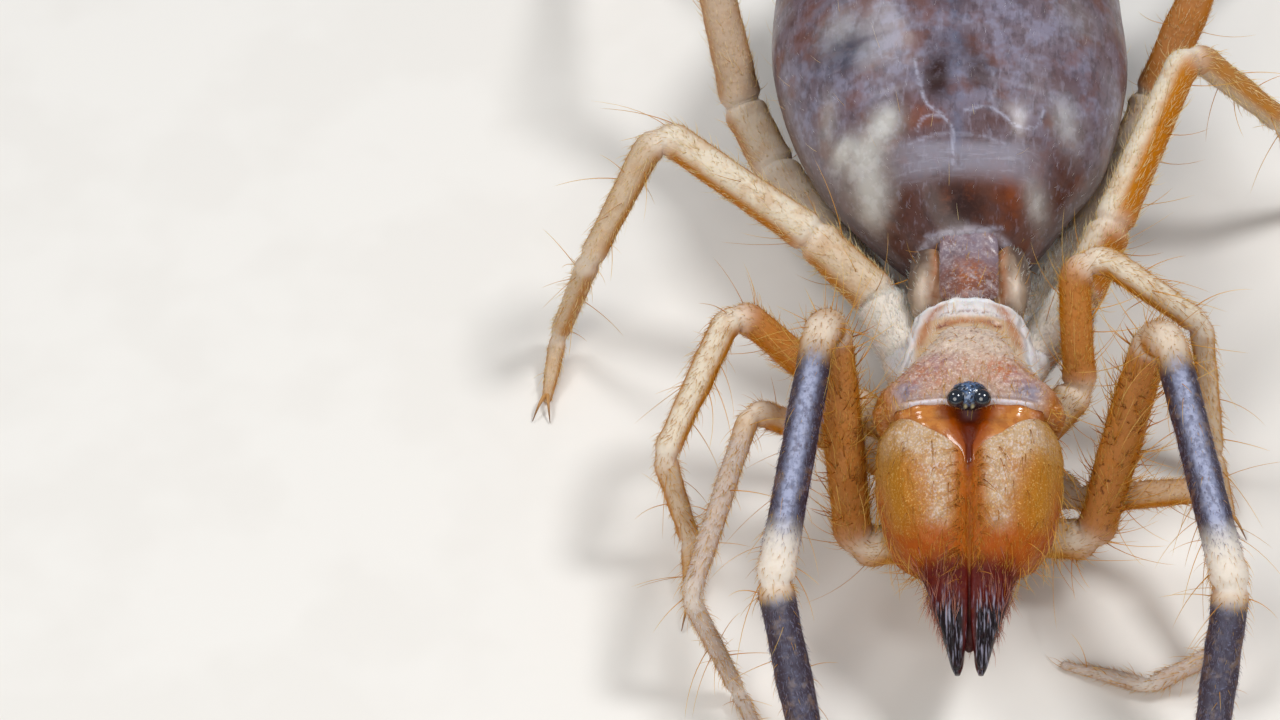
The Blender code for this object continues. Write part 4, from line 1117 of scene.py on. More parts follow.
def build_head(finishes):
    """The head shield: a dome with a rolled front rim, a lobe at each side, and the eye knob."""
    places = places_between(HEAD_STATIONS[0][0], HEAD_STATIONS[-1][0], 0.07, 0.3)
    rings, s = oval_rings(HEAD_STATIONS, places, HEAD_SIDES, 2.5, 0.45)
    x, y, z = rings[..., 0], rings[..., 1], rings[..., 2]
    above = ramp(s, 0.05, 0.35)
    front = ramp(-np.abs(x), -4.1, -3.6) * above
    rim = bump(y, -5.72, 0.15) * front
    trough = bump(y, -5.3, 0.25) * front
    eyes_dip = spot(x, y, (0, -4.7), (1.8, 0.6)) * above
    rings[..., 2] += 0.17 * rim - 0.13 * trough - 0.1 * eyes_dip
    lift = 0.05 * unevenness(rings, 1.5, 11) + 0.025 * unevenness(rings, 0.5, 12)
    rings = rings + ring_normals(rings) * (lift * ramp(y, -5.6, -5.0))[..., None]
    skin = ring_skin("head_skin", rings, head_paint(x, y, z, above))
    add_skin(skin, finishes["shield"], ["head_shield"])
    for word, side in SIDES.items():
        lobe = ball_skin("head_lobe_" + word, mirrored(LOBE_CENTRE, side), LOBE_SIZE, None, 60, 72)
        bumps = 0.05 * unevenness(lobe.points, 0.7, 21 + side)
        lobe.points = lobe.points + lobe.normals * bumps[:, None]
        x, y, z = lobe.points.T
        lobe.masks = head_paint(x, y, z, ramp(lobe.normals[:, 2], -0.2, 0.5))
        lobe.masks["amber"] = 1.0 + 0 * x
        add_skin(lobe, finishes["shield"])
        coat(lobe, "lobe_setae_" + word, "lobe_setae", 31 + side, finishes,
             lie=(0.6 * side, -0.6, 0.2))
    knob = ball_skin("eye_tubercle", TUBERCLE_CENTRE, TUBERCLE_SIZE, None, 90, 110)
    warts = np.clip(unevenness(knob.points, 0.2, 41), -0.4, 1.0)
    between = bump(knob.points[:, 0], 0, 0.42) + ramp(knob.points[:, 1], -5.7, -5.3)
    between = np.clip(between, 0, 1)
    knob.points = knob.points + knob.normals * (0.035 * warts * between)[:, None]
    knob.masks = {
        "crest": ramp(knob.normals[:, 2], -0.15, 0.4) * between,
        "streaks": spot(np.abs(knob.points[:, 0]), knob.points[:, 2], (0.2, 14.62), (0.1, 0.2), 3)
        * ramp(-knob.points[:, 1], 6.0, 6.2),
    }
    add_skin(knob, finishes["tubercle"])
    for word, side in SIDES.items():
        centre = mirrored(LENS_CENTRE, side)
        eye = ball_skin("eye_lens_" + word, centre, (LENS_RADIUS,) * 3, None, 40, 56)
        add_skin(eye, finishes["lens"], ["eye_" + word])
    shield_top = ramp(skin.normals[:, 2], 0.1, 0.5)
    fine = shield_top * (0.25 + 0.75 * ramp(-skin.points[:, 1], -0.5, 4.5))
    for k, (kind, where) in enumerate((("head_fine_setae", fine), ("head_setae", shield_top))):
        coat(skin, kind, kind, 51 + k, finishes, where, (0, -1, 0.1))


def build_hinge(finishes):
    """The soft hinge in front of the head shield: an orange fold, its dark V under the eyes painted shade.
    """
    places = np.linspace(HINGE_REAR, JAW_EDGE[0][1] + 0.3, 110)
    edge_x, edge_ahead = np.array(JAW_EDGE).T
    half_width = np.interp(places, edge_ahead[::-1], edge_x[::-1]) + 0.4
    half_width = np.minimum(half_width, 4.3)[:, None]
    ahead = places[:, None]
    top = smooth_rows(CHELICERA_STATIONS, np.maximum(places, 6.2))[:, 3:4]
    c, s = circle(HINGE_SIDES)
    x = half_width * c
    cleft = bump(x, 0, np.maximum(1.0 - 0.3 * (ahead - 5.9), 0.2), 4)
    depth, width = SEAM_VALLEY
    z = top - HINGE_SINK - HINGE_HALF_HEIGHT + HINGE_HALF_HEIGHT * s * np.abs(s) ** -0.6
    z = z - (depth * bump(x, 0, 2 * width) + 0.22 * cleft) * (s > 0)
    z = z + 0.35 * (1 - ramp(ahead, 5.9, 6.8)) * (s > 0)
    z = z - 0.3 * ramp(np.abs(x), 2.6, 4.3) + 0.03 * np.sin(4.2 * np.abs(x) + 1.4 * ahead) * (s > 0)
    rings = np.stack([x, -ahead + 0 * x, z], -1)
    masks = {
        "light": ramp(np.abs(x) + 0.4 * (ahead - 6.0), 1.2, 2.3),
        # fold: painted shade in the V between the jaws, under the head's rim and where the membrane goes
        # under the jaws
        "fold": np.clip(cleft + 0.6 * ramp(np.abs(x), 3.6, 4.2) + ramp(-ahead, -5.95, -5.7), 0, 1),
        # a painted grey glint in the V
        "bloom_and_painted_glint": bump(x, 0, 0.38) * (1 - ramp(ahead, 6.2, 6.9)) * 0.5,
    }
    add_skin(ring_skin("jaw_hinge_membrane", rings, masks), finishes["hinge"])


def seam_paint(x, ahead):
    """Masks that a chelicera and the skin of the seam share."""
    return {
        "seam": bump(x, 0, 0.8, 4) * (1 - ramp(ahead, 13.6, 14.6)),
        # cleft: painted shade down the middle of the seam
        "cleft": bump(x, 0, 0.28) * (1 - 0.7 * ramp(ahead, 9.8, 11.2)),
    }


def jaw_masks(x, ahead, s):
    """Paint of a chelicera: x is the distance from the seam, s the height on the ring."""
    top = ramp(s, 0.0, 0.55)
    streak = thread(x, -ahead, JAW_STREAK, 0.8)
    pale = streak * (1 - 0.5 * ramp(ahead, 9.0, 12.0)) + 0.85 * thread(x, -ahead, JAW_SECOND_STREAK, 0.7)
    pale = np.clip(pale + spots(x, ahead, JAW_SPOTS), 0, 1)
    share = (x - 0.1) / np.maximum(3.6 - 0.2 * ahead, 0.4)
    ridges = bump(share, 0.25, 0.12) + 0.9 * ramp(share, 0.55, 0.8)
    rim = ramp(-s, -0.75, -0.1) * ramp(ahead, 8.0, 11.0) + ramp(ahead, 12.1, 13.4)
    inner = 1 - ramp(x, 0.2, 0.5)
    return {
        "gold": top * ramp(ahead, 8.0, 10.4) * bump(x, 2.0, 2.3),
        "pale": pale * ramp(s, 0.2, 0.7) * (1 - ramp(ahead, 12.3, 13.5)),
        "rim": np.clip(rim, 0, 1),
        **seam_paint(x, ahead),
        "red": ramp(ahead, 13.5, 14.5),
        "black": ramp(ahead, 15.2, 16.4) * (1 - 0.75 * inner),
        # glint: painted highlights along the ridges of the finger
        "glint": ramp(ahead, 14.6, 15.8) * ramp(s, -0.2, 0.5) * np.clip(ridges, 0, 1),
    }


def jaw_rings(side):
    """Rings of one chelicera. Its inner face is flat, as it lies against the other one."""
    places = places_between(CHELICERA_STATIONS[0][0], CHELICERA_STATIONS[-1][0], 0.09, 0.3)
    ahead, outer, inner, top, bottom = smooth_rows(CHELICERA_STATIONS, places).T[:, :, None]
    c, s = circle(JAW_SIDES)
    power = np.where(c > 0, *JAW_FULLNESS)
    reach = (np.abs(c) ** power + np.abs(s) ** power) ** (-1 / power)
    inset = JAW_ROUNDING * (1 - rounded((ahead - ahead.min()) / JAW_ROUNDING))
    half = np.maximum((outer - inner) / 2 - inset, 0.05)
    tall = np.maximum((top - bottom) / 2 - inset, 0.05)
    x = (outer + inner) / 2 + half * c * reach
    z = (top + bottom) / 2 + tall * s * reach
    s, ahead = s + 0 * x, ahead + 0 * x
    edge = smooth_rows(JAW_EDGE, x.ravel())[:, 1].reshape(x.shape)
    z = z - 0.6 * ramp(edge - ahead, -0.05, 0.25) * ramp(s, 0.0, 0.3)
    depth, width = SEAM_VALLEY
    z = z - depth * bump(x, 0, width) * ramp(s, 0.0, 0.3) * (1 - ramp(ahead, 14.0, 16.0))
    groove = bump(c, -0.05, 0.2) * ramp(s, 0.2, 0.6) * ramp(ahead, 14.6, 15.6)
    z = z - 0.14 * groove
    rings = np.stack([side * x, -ahead, z], -1)
    return rings, x, ahead, s


def add_tooth(name, root, tip, finishes):
    """A blunt curved tooth from its root to its tip."""
    root, tip = np.array(root), np.array(tip)
    shares = np.linspace(0, 1, 14)[:, None]
    line = root + (tip - root) * shares
    radii = TOOTH_RADIUS * np.sqrt(1 - shares[:, 0] ** 1.7) + TOOTH_POINT
    rings = tube_rings(line, radii, np.array([1.0, 0.0, 0.0]), 18)
    add_skin(ring_skin(name, rings), finishes["fang"])


def build_chelicera(word, finishes):
    """A jaw: the swollen bulb, drawn out to the upper finger with its teeth."""
    side = SIDES[word]
    rings, x, ahead, s = jaw_rings(side)
    lift = 0.05 * unevenness(rings, 2.2, 61) + 0.02 * unevenness(rings, 0.6, 62)
    fade = ramp(ahead, 6.6, 7.4) * (1 - ramp(ahead, 14.0, 16.0)) * ramp(x, 0.3, 0.8)
    rings = rings + ring_normals(rings) * (lift * fade)[..., None]
    skin = ring_skin("chelicera_skin_" + word, rings, jaw_masks(x, ahead, s))
    add_skin(skin, finishes["jaw"], ["chelicera_" + word])
    for k, row in enumerate(smooth_rows(CHELICERA_STATIONS, UPPER_TEETH)):
        away, outer, inner, _, bottom = row
        middle = side * (outer + inner) / 2
        long = TOOTH_LENGTH * (1.2 if k % 3 == 1 else 0.8)
        root, tip = (middle, -away, bottom + TOOTH_SINK), (middle, -away + TOOTH_LEAN, bottom - long)
        add_tooth(f"upper_tooth_{word}_{k + 1}", root, tip, finishes)
    build_jaw_hairs(skin, word, side, finishes)


def build_jaw_hairs(skin, word, side, finishes):
    """The jaw's coat: short golden down, curved bristles swept forward, a red brush in front."""
    x = side * skin.points[:, 0]
    ahead = -skin.points[:, 1]
    outside = 1 - ramp(-x, -0.5, -0.25) * ramp(ahead, 6.0, 6.2)
    back = 1 - ramp(ahead, 13.8, 15.2)
    top = ramp(skin.normals[:, 2], 0.0, 0.4)
    forward = (0.12 * side, -1.0, -0.1)
    edge = smooth_rows(JAW_EDGE, np.clip(x, 0, 5.5))[:, 1]
    outside = outside * ramp(ahead - edge, -0.1, 0.25)
    brush = ramp(ahead, 13.0, 14.2) * (1 - ramp(ahead, 15.4, 16.6)) * outside
    flank = ramp(-skin.normals[:, 2], -0.5, 0.2) * outside * back * ramp(ahead, 6.8, 8.0)
    behind = outside * back
    for kind, seed, where, lie, bend in (
        ("jaw_down", 71, behind, forward, None),
        ("jaw_bristles", 75, behind * (0.5 + 0.5 * top), forward, None),
        ("jaw_seam_bristles", 79, bump(x, 0.5, 0.16) * top * outside * back, (side, 0.0, 0.1),
         (0.35 * side, -1.0, 0.0)),
        ("jaw_seam_down", 82, bump(x, 0.55, 0.3) * top * outside * back, (-0.35 * side, -0.95, 0.1), None),
        ("jaw_red_brush", 83, brush, (0.12 * side, -1.0, -0.25), None),
        ("jaw_flank_bristles", 87, flank, (0.5 * side, -0.8, -0.2), None),
    ):
        coat(skin, f"{kind}_{word}", kind, seed + side, finishes, where, lie, bend)


def build_seam(finishes):
    """The skin that joins the two jaws along the middle: a shallow, darker valley; its cleft painted
    shade.
    """
    places = np.linspace(SEAM_WIDTHS[0][0], SEAM_WIDTHS[-1][0], 120)
    top = smooth_rows(CHELICERA_STATIONS, places)[:, 3:4]
    ahead = places[:, None]
    c, s = circle(SEAM_SIDES)
    share = np.interp(places, *np.array(SEAM_WIDTHS).T)[:, None]
    x = SEAM_HALF_WIDTH * share * c
    sunk = 0.03 + 0.35 * c**4 + 0.3 * (1 - ramp(ahead, 9.2, 10.1)) + 0.5 * ramp(ahead, 14.2, 16.4)
    z = top - sunk - SEAM_FLOOR * bump(x, 0, 0.33) + 0.8 * np.minimum(s, 0)
    rings = np.stack([x, -ahead + 0 * x, z], -1)
    masks = {
        **seam_paint(x, ahead),
        "red": ramp(ahead, 13.75, 14.7),
        "black": ramp(ahead, 15.6, 16.6) * 0.5,
    }
    seam = ring_skin("jaw_seam", rings, masks)
    add_skin(seam, finishes["jaw"])
    open_part = ramp(seam.normals[:, 2], 0.2, 0.6) * ramp(-seam.points[:, 1], 9.6, 10.2)
    open_part = open_part * (1 - ramp(-seam.points[:, 1], 13.6, 14.6))
    coat(seam, "jaw_seam_fringe", "jaw_seam_fringe", 95, finishes, open_part)


def build_finger(word, finishes):
    """The lower finger: a black fang that closes up against the jaw, with its own teeth."""
    side = SIDES[word]
    places = places_between(FINGER_STATIONS[0][0], FINGER_STATIONS[-1][0], 0.08, 0.15)
    ahead, across, height, radius = smooth_rows(FINGER_STATIONS, places).T
    radius = radius * (0.15 + 0.85 * rounded((ahead - ahead.min()) / 0.6))
    line = np.stack([side * across, -ahead, height], -1)
    rings = tube_rings(line, radius, UP, 60)
    away = -rings[..., 1]
    inward = 1 - ramp(side * rings[..., 0], 0.35, 0.75)
    red = np.clip(1 - ramp(away, 13.8, 15.4) + inward, 0, 1)
    # glint: painted highlights on the finger's black end
    masks = {"red": red, "glint": ramp(away, 15.0, 16.2) * 0.8}
    skin = ring_skin("lower_finger_" + word, rings, masks)
    add_skin(skin, finishes["fang"], ["finger_" + word])
    for k, (away, x, z, girth) in enumerate(smooth_rows(FINGER_STATIONS, LOWER_TEETH)):
        x, top = side * x, z + girth
        root, tip = (x, -away, top - TOOTH_SINK), (x, -away + TOOTH_LEAN, top + TOOTH_LENGTH)
        add_tooth(f"lower_tooth_{word}_{k + 1}", root, tip, finishes)
    base = 1 - ramp(-skin.points[:, 1], 15.6, 16.8)
    coat(skin, "finger_brush_" + word, "finger_brush", 91 + side, finishes,
         base, (0.15 * side, -1.0, -0.1))


def segments_of(limb):
    """A limb's segments from the body out: name, length, yaw, pitch, and the three radii."""
    kinds = SEGMENTS[limb.split("_")[0]]
    return [(name, *way, *kinds[name][:3]) for name, way in zip(kinds, LIMBS[limb][1])]


def limb_course(limb):
    """The limb's middle line with its corners turned, evenly stepped, the distance along it, the
    places of its corners, and the radius."""
    segments = segments_of(limb)
    joints = [np.array(LIMBS[limb][0], float)]
    for k, (_, length, yaw, pitch, *_) in enumerate(segments):
        if k == len(segments) - 1:
            pitch = math.degrees(math.asin((pitch - joints[-1][2]) / length))
        joints.append(joints[-1] + length * direction(yaw, pitch))
    radii = [segment[4:] for segment in segments]
    line, middles = [joints[0] - COXA_OVERLAP * unit(joints[1] - joints[0])], []
    for k in range(1, len(joints) - 1):
        before, after = unit(joints[k] - joints[k - 1]), unit(joints[k + 1] - joints[k])
        turn = math.acos(float(np.clip(before @ after, -1, 1)))
        turning = KNEE_CLEAR + (radii[k - 1][2] + radii[k][0]) / 2
        lengths = np.linalg.norm([joints[k] - joints[k - 1], joints[k + 1] - joints[k]], axis=1)
        trim = min(turning * math.tan(turn / 2), CORNER_SHARE * min(lengths))
        turning = trim / math.tan(turn / 2)
        inward, lean = unit(after - before), unit(after + before)
        centre = joints[k] + inward * turning / math.cos(turn / 2)
        for angle in np.linspace(-turn / 2, turn / 2, ARC_POINTS):
            line.append(centre + turning * (math.sin(angle) * lean - math.cos(angle) * inward))
        middles.append(len(line) - ARC_POINTS // 2 - 1)
    ahead = unit(joints[-1] - joints[-2])
    line.append(joints[-1] + ahead * radii[-1][2] * TIP_REACH)
    line = np.array(line)
    travelled = np.concatenate([[0], np.cumsum(np.linalg.norm(np.diff(line, axis=0), axis=1))])
    corners = np.array([0.0, *travelled[middles], travelled[-1]])
    along = np.linspace(0, travelled[-1], int(travelled[-1] / LIMB_STEP))
    course = np.stack([np.interp(along, travelled, line[:, k]) for k in range(3)], -1)
    thick_at, thick = [], []
    for start, stop, sizes in zip(corners, corners[1:], radii):
        thick_at += [start + 0.15, (start + stop) / 2, stop - 0.15]
        thick += sizes
    radius = SKIN_SHARE * np.interp(along, thick_at, thick)
    return course, along, corners, radius


def blurred(values, along, reach):
    """Values along a line, smoothed over this distance to either side."""
    step = along[1] - along[0]
    half = max(1, int(reach / step))
    weights = np.hanning(2 * half + 3)[1:-1]
    padded = np.pad(values, half, mode="edge")
    return np.convolve(padded, weights / weights.sum(), mode="valid")


def limb_masks(limb, along, corners, lit):
    """Paint of a limb: by segment along it, and by how far each side faces up."""
    kind, side_word = limb.split("_")
    names = list(SEGMENTS[kind])
    tints = np.array([OWN_TINTS.get((limb, name), SEGMENTS[kind][name][3]) for name in names])
    index = np.clip(np.searchsorted(corners, along) - 1, 0, len(names) - 1)
    cream, amber, violet, veil = (blurred(tints[index, k], along, 0.8)[:, None] for k in range(4))
    gap = np.abs(along[:, None] - corners[None, 1:-1]).min(axis=1)[:, None]
    joint = 0.55 * bump(gap, 0, 0.75)
    specks, shin = np.zeros_like(along)[:, None], 0.0
    dust = ramp(along, corners[2] + 0.5, corners[2] + 2.5)[:, None] * (kind == "leg1")
    dust = dust + 0.6 * (1 - amber) * (kind == "leg4")
    if kind == "palp":
        knee, ankle = corners[names.index("tibia")], corners[names.index("metatarsus")]
        heel = corners[names.index("tarsus")]
        shaft = ramp(along, knee + 0.3, knee + 3.0) * (1 - ramp(along, ankle - 3.2, ankle - 1.0))
        shin = ramp(along, ankle + 0.2, ankle + 1.4) * (1 - ramp(along, heel - 0.6, heel + 0.4))
        shin = shin[:, None]
        violet = violet * (shaft[:, None] + shin)
        white = ramp(along, ankle - 4.0, ankle - 2.0) * (1 - ramp(along, ankle, ankle + 0.5))
        joint = np.maximum(joint, white[:, None])
        specks = ramp(-np.abs(along - corners[names.index("femur")] - 6.5), -6.5, -4.5)[:, None]
        specks = specks * (1.0 if side_word == "left" else 0.55)
    if kind == "leg3":
        joint = np.maximum(joint, 1 - ramp(along, corners[1] - 0.4, corners[1] + 0.6)[:, None])
    brightest = np.maximum(lit.max(axis=1, keepdims=True), 0.3)
    # back: the strip that faces the light most squarely, where the painted highlight lies
    back = bump(lit / brightest, 1, 0.22)
    return {
        # cream, dust and white joints on the lit side and amber on the shaded side: partly the limb's own
        # tones, partly painted light and shade
        "cream": cream * ramp(lit / brightest, 0.35, 0.9),
        "amber": amber * np.maximum(ramp(-lit, -0.95, 0.1), ramp(amber, 0.85, 1.0)),
        "violet": np.clip(1.3 * violet, 0, 1) * ramp(lit, -0.95, -0.1),
        # streak and glow: a painted highlight along the lit top of the violet segments
        "streak": violet * back * (1 - 0.75 * shin),
        "glow": violet * back**6 * (1 - 0.9 * shin),
        "dust": dust * ramp(lit, -0.5, 0.6),
        "veil": veil + 0 * lit,
        "joint": joint * ramp(lit, -0.8, 0.3) * 0.9,
        "spots": specks + 0 * lit,
    }


def build_limb(limb, finishes):
    """One limb from its coxa to its tip in a single skin, pinched and flared at each joint."""
    kind, word = limb.split("_")
    names = list(SEGMENTS[kind])
    course, along, corners, radius = limb_course(limb)
    bend = names.index("bend") if "bend" in names else None
    inner = corners[1:-1] if bend is None else np.delete(corners[1:-1], [bend - 1, bend])
    past = along[:, None] - inner[None]
    pinch = bump(past, 0, 0.3).sum(axis=1)
    flare = (bump(past, -0.75, 0.45) + 0.7 * bump(past, 0.8, 0.5)).sum(axis=1)
    radius = radius * (1 - PINCH * pinch + FLARE * flare)
    radius = radius * np.maximum(rounded((along[-1] - along) / (1.15 * radius)), 0.06)
    sides = PALP_SIDES if kind == "palp" else LEG_SIDES
    rings = tube_rings(course, radius, UP, sides)
    facing = unit(rings - course[:, None])
    lit = facing @ unit(INNER_SIDE if limb == "leg3_left" else LIT_FROM)
    seed = 100 + 7 * list(LIMBS).index(limb)
    lift = 0.02 * unevenness(rings, 2.0, seed) + 0.008 * unevenness(rings, 0.45, seed + 1)
    rings = rings + facing * lift[..., None]
    rings[..., 2] = np.maximum(rings[..., 2], 0.0)
    masks = limb_masks(limb, along, corners, lit)
    skin = ring_skin(limb + "_skin", rings, masks)
    nodes = [limb + "_" + name for name in names if name != "bend"]
    nodes = [node for node in nodes if node in bpy.data.objects]
    add_skin(skin, finishes["limb"], nodes)
    dress_limb(limb, skin, along, corners, sides, seed, finishes)
    if limb.startswith(CLAWED):
        build_claws(limb, course, finishes)
    if kind == "leg4":
        build_malleoli(limb, word, finishes)


def along_skin(values, sides):
    """Values along a limb, one for each point of its skin."""
    return with_poles(np.repeat(values[:, None], sides, axis=1))


def dress_limb(limb, skin, along, corners, sides, seed, finishes):
    """A limb's coat: short down all over, longer bristles, and a few very long golden hairs."""
    kind = limb.split("_")[0]
    names = list(SEGMENTS[kind])
    out = ramp(along, 0.8, 1.6)
    off_floor = ramp(skin.points[:, 2], 0.15, 0.5)
    bare = np.maximum(0.97 * skin.masks["violet"], 0.85 * skin.masks["joint"])
    down = along_skin(out, sides) * off_floor * (1 - bare)
    fair = "straw" if kind in ("leg3", "leg4") else "golden"
    dense, sparse, few = HAIRS_PER_MM2[kind]
    coats = [
        ("down", 2, down, (fair, dense)),
        ("bristles", 3, down, (fair, sparse)),
        ("long_hairs", 4, down, (None, few)),
    ]
    if kind == "palp":
        femur, knee = corners[names.index("femur")], corners[names.index("tibia")]
        spiny = ramp(along, femur + 1, femur + 2.5) * (1 - ramp(along, femur + 11, femur + 13))
        dusk = along_skin(ramp(along, knee + 3, knee + 4.5), sides) * skin.masks["violet"]
        coats.append(("spines", 5, along_skin(spiny, sides), (None, None)))
        coats.append(("dusk_down", 6, dusk, (None, None)))
    if kind == "leg1":
        dusty = ramp(along, corners[2] + 0.5, corners[2] + 2.5)
        coats.append(("pale_dust", 5, along_skin(dusty, sides), (None, None)))
    if kind in ("leg3", "leg4"):
        upper = corners[1] if kind == "leg3" else corners[1] * 0.5
        fuzzy = 1 - ramp(along, upper - 0.4, upper + 0.9)
        coats.append(("white_fuzz", 5, along_skin(fuzzy, sides), (None, None)))
    for word, step, where, own in coats:
        coat(skin, f"{limb}_{word}", word, seed + step, finishes, where, own=own)


def build_claws(limb, course, finishes):
    """Two curved claws at the end of a walking leg, down to the floor."""
    yaw = LIMBS[limb][1][-1][1]
    tip = course[-1] - TIP_REACH * 0.3 * unit(course[-1] - course[-2])
    shares = np.linspace(0, 1, 40)
    for word, side in SIDES.items():
        ahead = direction(yaw + side * CLAW_SPREAD, 0)
        across = direction(yaw + side * 90, 0)
        root = tip + across * 0.1 - ahead * 0.35
        line = root + ahead * CLAW_LENGTH * shares[:, None]
        arch = CLAW_ARCH * np.sin(math.pi * shares**0.8)
        line[:, 2] = tip[2] * (1 - shares) + 0.1 * shares + arch
        radii = CLAW_ROOT_RADIUS + (CLAW_POINT_RADIUS - CLAW_ROOT_RADIUS) * shares**0.8
        rings = tube_rings(line, radii, UP, 20, 0.75)
        rings[..., 2] = np.maximum(rings[..., 2], 0.0)
        masks = {"tip": np.repeat(ramp(shares, 0.3, 1.0)[:, None], 20, axis=1)}
        skin = ring_skin(f"{limb}_claw_{word}", rings, masks)
        add_skin(skin, finishes["claw"])


def build_malleoli(limb, word, finishes):
    """Racket organs: thin white stalks with a fan at the end, in a row under the hind leg."""
    _, _, yaw, pitch, radius, _, _ = segments_of(limb)[0]
    root, ahead = np.array(LIMBS[limb][0]), direction(yaw, pitch)
    radius = radius * SKIN_SHARE
    across = unit(np.cross(ahead, UP))
    for k, (out, drop) in enumerate(MALLEOLI):
        top = root + ahead * out - UP * radius * 0.8
        shares = np.linspace(0, 1, 44)
        line = top - UP * (drop * 0.95 * shares)[:, None]
        fan = ramp(shares, 0.45, 0.8) * np.sqrt(np.maximum(1 - ramp(shares, 0.8, 1.05), 0))
        width = STALK_HALF_WIDTH + FAN_HALF_WIDTH * fan
        angle = 2 * math.pi * np.arange(RACKET_SIDES) / RACKET_SIDES
        thin = RACKET_THICKNESS * (1 - 0.3 * shares)
        rings = line[:, None] + width[:, None, None] * np.cos(angle)[None, :, None] * ahead
        rings = rings + thin[:, None, None] * np.sin(angle)[None, :, None] * across
        skin = ring_skin(f"malleolus_{word}_{k + 1}", rings, {"pale": np.ones(rings.shape[:2])})
        add_skin(skin, finishes["body"])


def oval_top(stations, y, x, fullness=2.2):
    """Height of the top of an oval body at these places."""
    shape = np.shape(y)
    rows = smooth_rows(stations, np.ravel(y))
    middle, half, top, bottom = (rows[:, k].reshape(shape) for k in range(1, 5))
    across = np.clip(np.abs(x - middle) / half, 0, 0.98)
    return (top + bottom) / 2 + (top - bottom) / 2 * (1 - across**fullness) ** (1 / fullness)


def build_collar(finishes):
    """The soft ring behind the head: silky white at its sides, a tan band, a brown arc in front."""
    places = places_between(COLLAR_STATIONS[0][0], COLLAR_STATIONS[-1][0], 0.07, 0.5)
    rings, s = oval_rings(COLLAR_STATIONS, places, COLLAR_SIDES, 2.3, 0.6)
    x, y = np.abs(rings[..., 0]), rings[..., 1]
    band = thread(x, y, COLLAR_BAND, 0.4)
    beside, behind = np.array(COLLAR_BAND[::-1]).T
    outer = ramp(x - np.interp(y, behind, beside), 0.1, 0.6)
    inside = 1 - ramp(x, 1.7, 2.1)
    arc = bump(y + 0.1 * x**2, 1.35, 0.26) * inside
    row = bump(y + 0.06 * x**2, 1.95, 0.16) * inside
    folds = np.sin(9.0 * x + 2.0 * y + 1.8 * unevenness(rings, 1.5, 143))
    lift = 0.02 * folds * outer - 0.1 * band - 0.12 * arc + 0.03 * unevenness(rings, 0.9, 144)
    rim = bump(y + 0.05 * x**2, 3.05, 0.14)
    rings = rings + ring_normals(rings) * (lift + 0.1 * rim * (s > 0))[..., None]
    masks = {
        "pale": np.clip(outer + 0.8 * ramp(y, 1.5, 1.8) + rim, 0, 1) * (1 - 0.2 * ramp(folds, 0.3, 1.0)),
        "amber": np.clip(band + arc, 0, 1) * (1 - rim) * 0.9,
        "dots": np.clip(arc * ramp(x, 0.7, 1.4) + 0.7 * row, 0, 1),
        # under: painted shade in the troughs of the folds
        "under": 0.9 * outer * ramp(-folds, 0.0, 1.0),
    }
    skin = ring_skin("collar_skin", rings, masks)
    add_skin(skin, finishes["body"])
    for k, (kind, span) in enumerate((("collar_hairs", (0.1, 0.5)), ("collar_fuzz", (-0.3, 0.3)))):
        where = ramp(skin.normals[:, 2], *span)
        coat(skin, kind, kind, 145 + k, finishes, where, (0, 1, 0))


def plate_skin(name, stations, place, rise, masks_at):
    """A thin plate that lies over a body: place is its front, its rear and its half width."""
    front, rear, half_width = place
    shares = 0.5 - 0.5 * np.cos(np.linspace(0, math.pi, 60))
    y = (front + (rear - front) * shares)[:, None]
    c, s = circle(PLATE_SIDES)
    squared = (np.abs(c) ** 3 + np.abs(s) ** 3) ** (-1 / 3)
    c, s = c * squared, s * squared
    closing = (1 - np.abs(2 * shares - 1) ** 8)[:, None] ** 0.5
    x = half_width * np.maximum(closing, 0.05) * c
    y = y + 0 * x
    z = oval_top(stations, y, x) + rise * s * np.maximum(closing, 0.05)
    z = z + 0.03 * unevenness(np.stack([x, y, z], -1), 0.6, int(100 * front) % 97 + 5) * (s > 0)
    return ring_skin(name, np.stack([x, y, z], -1), masks_at(x, y))


def plate_masks(x, y):
    """Paint of the first back plate: red-brown in front, lilac grey behind, dusted with white."""
    return {
        "haze": 0.9 * ramp(y, 4.6, 7.4),
        "dark": spots(x, y, PLATE_SPOTS["dark"]),
        "rust": spots(x, y, PLATE_SPOTS["rust"]),
        "bloom_and_painted_glint": 0.35 + spots(x, y, PLATE_SPOTS["bloom_and_painted_glint"]),
    }


def joined(skins):
    """Several closed skins as one list of points and triangles."""
    points, triangles, count = [], [], 0
    for skin in skins:
        points.append(skin.points)
        triangles.append(skin.triangles + count)
        count += len(skin.points)
    return np.concatenate(points), np.concatenate(triangles)


def melted(name, skins, voxel, smoothing):
    """Melts overlapping closed skins into one, and gives its points and triangles."""
    points, triangles = joined(skins)
    lump = bpy.data.objects.new(name, mesh_of(name, points, triangles, {}))
    bpy.context.scene.collection.objects.link(lump)
    remesh = lump.modifiers.new("melt", "REMESH")
    remesh.mode = "VOXEL"
    remesh.voxel_size = voxel * MM
    soften = lump.modifiers.new("soften", "SMOOTH")
    soften.factor = 0.5
    soften.iterations = smoothing
    graph = bpy.context.evaluated_depsgraph_get()
    mesh = bpy.data.meshes.new_from_object(lump.evaluated_get(graph))
    bpy.data.objects.remove(lump)
    mesh.calc_loop_triangles()
    points = np.empty(3 * len(mesh.vertices), np.float32)
    mesh.vertices.foreach_get("co", points)
    triangles = np.empty(3 * len(mesh.loop_triangles), np.int32)
    mesh.loop_triangles.foreach_get("vertices", triangles)
    bpy.data.meshes.remove(mesh)
    return points.reshape(-1, 3).astype(float) / MM - SHIFT, triangles.reshape(-1, 3)


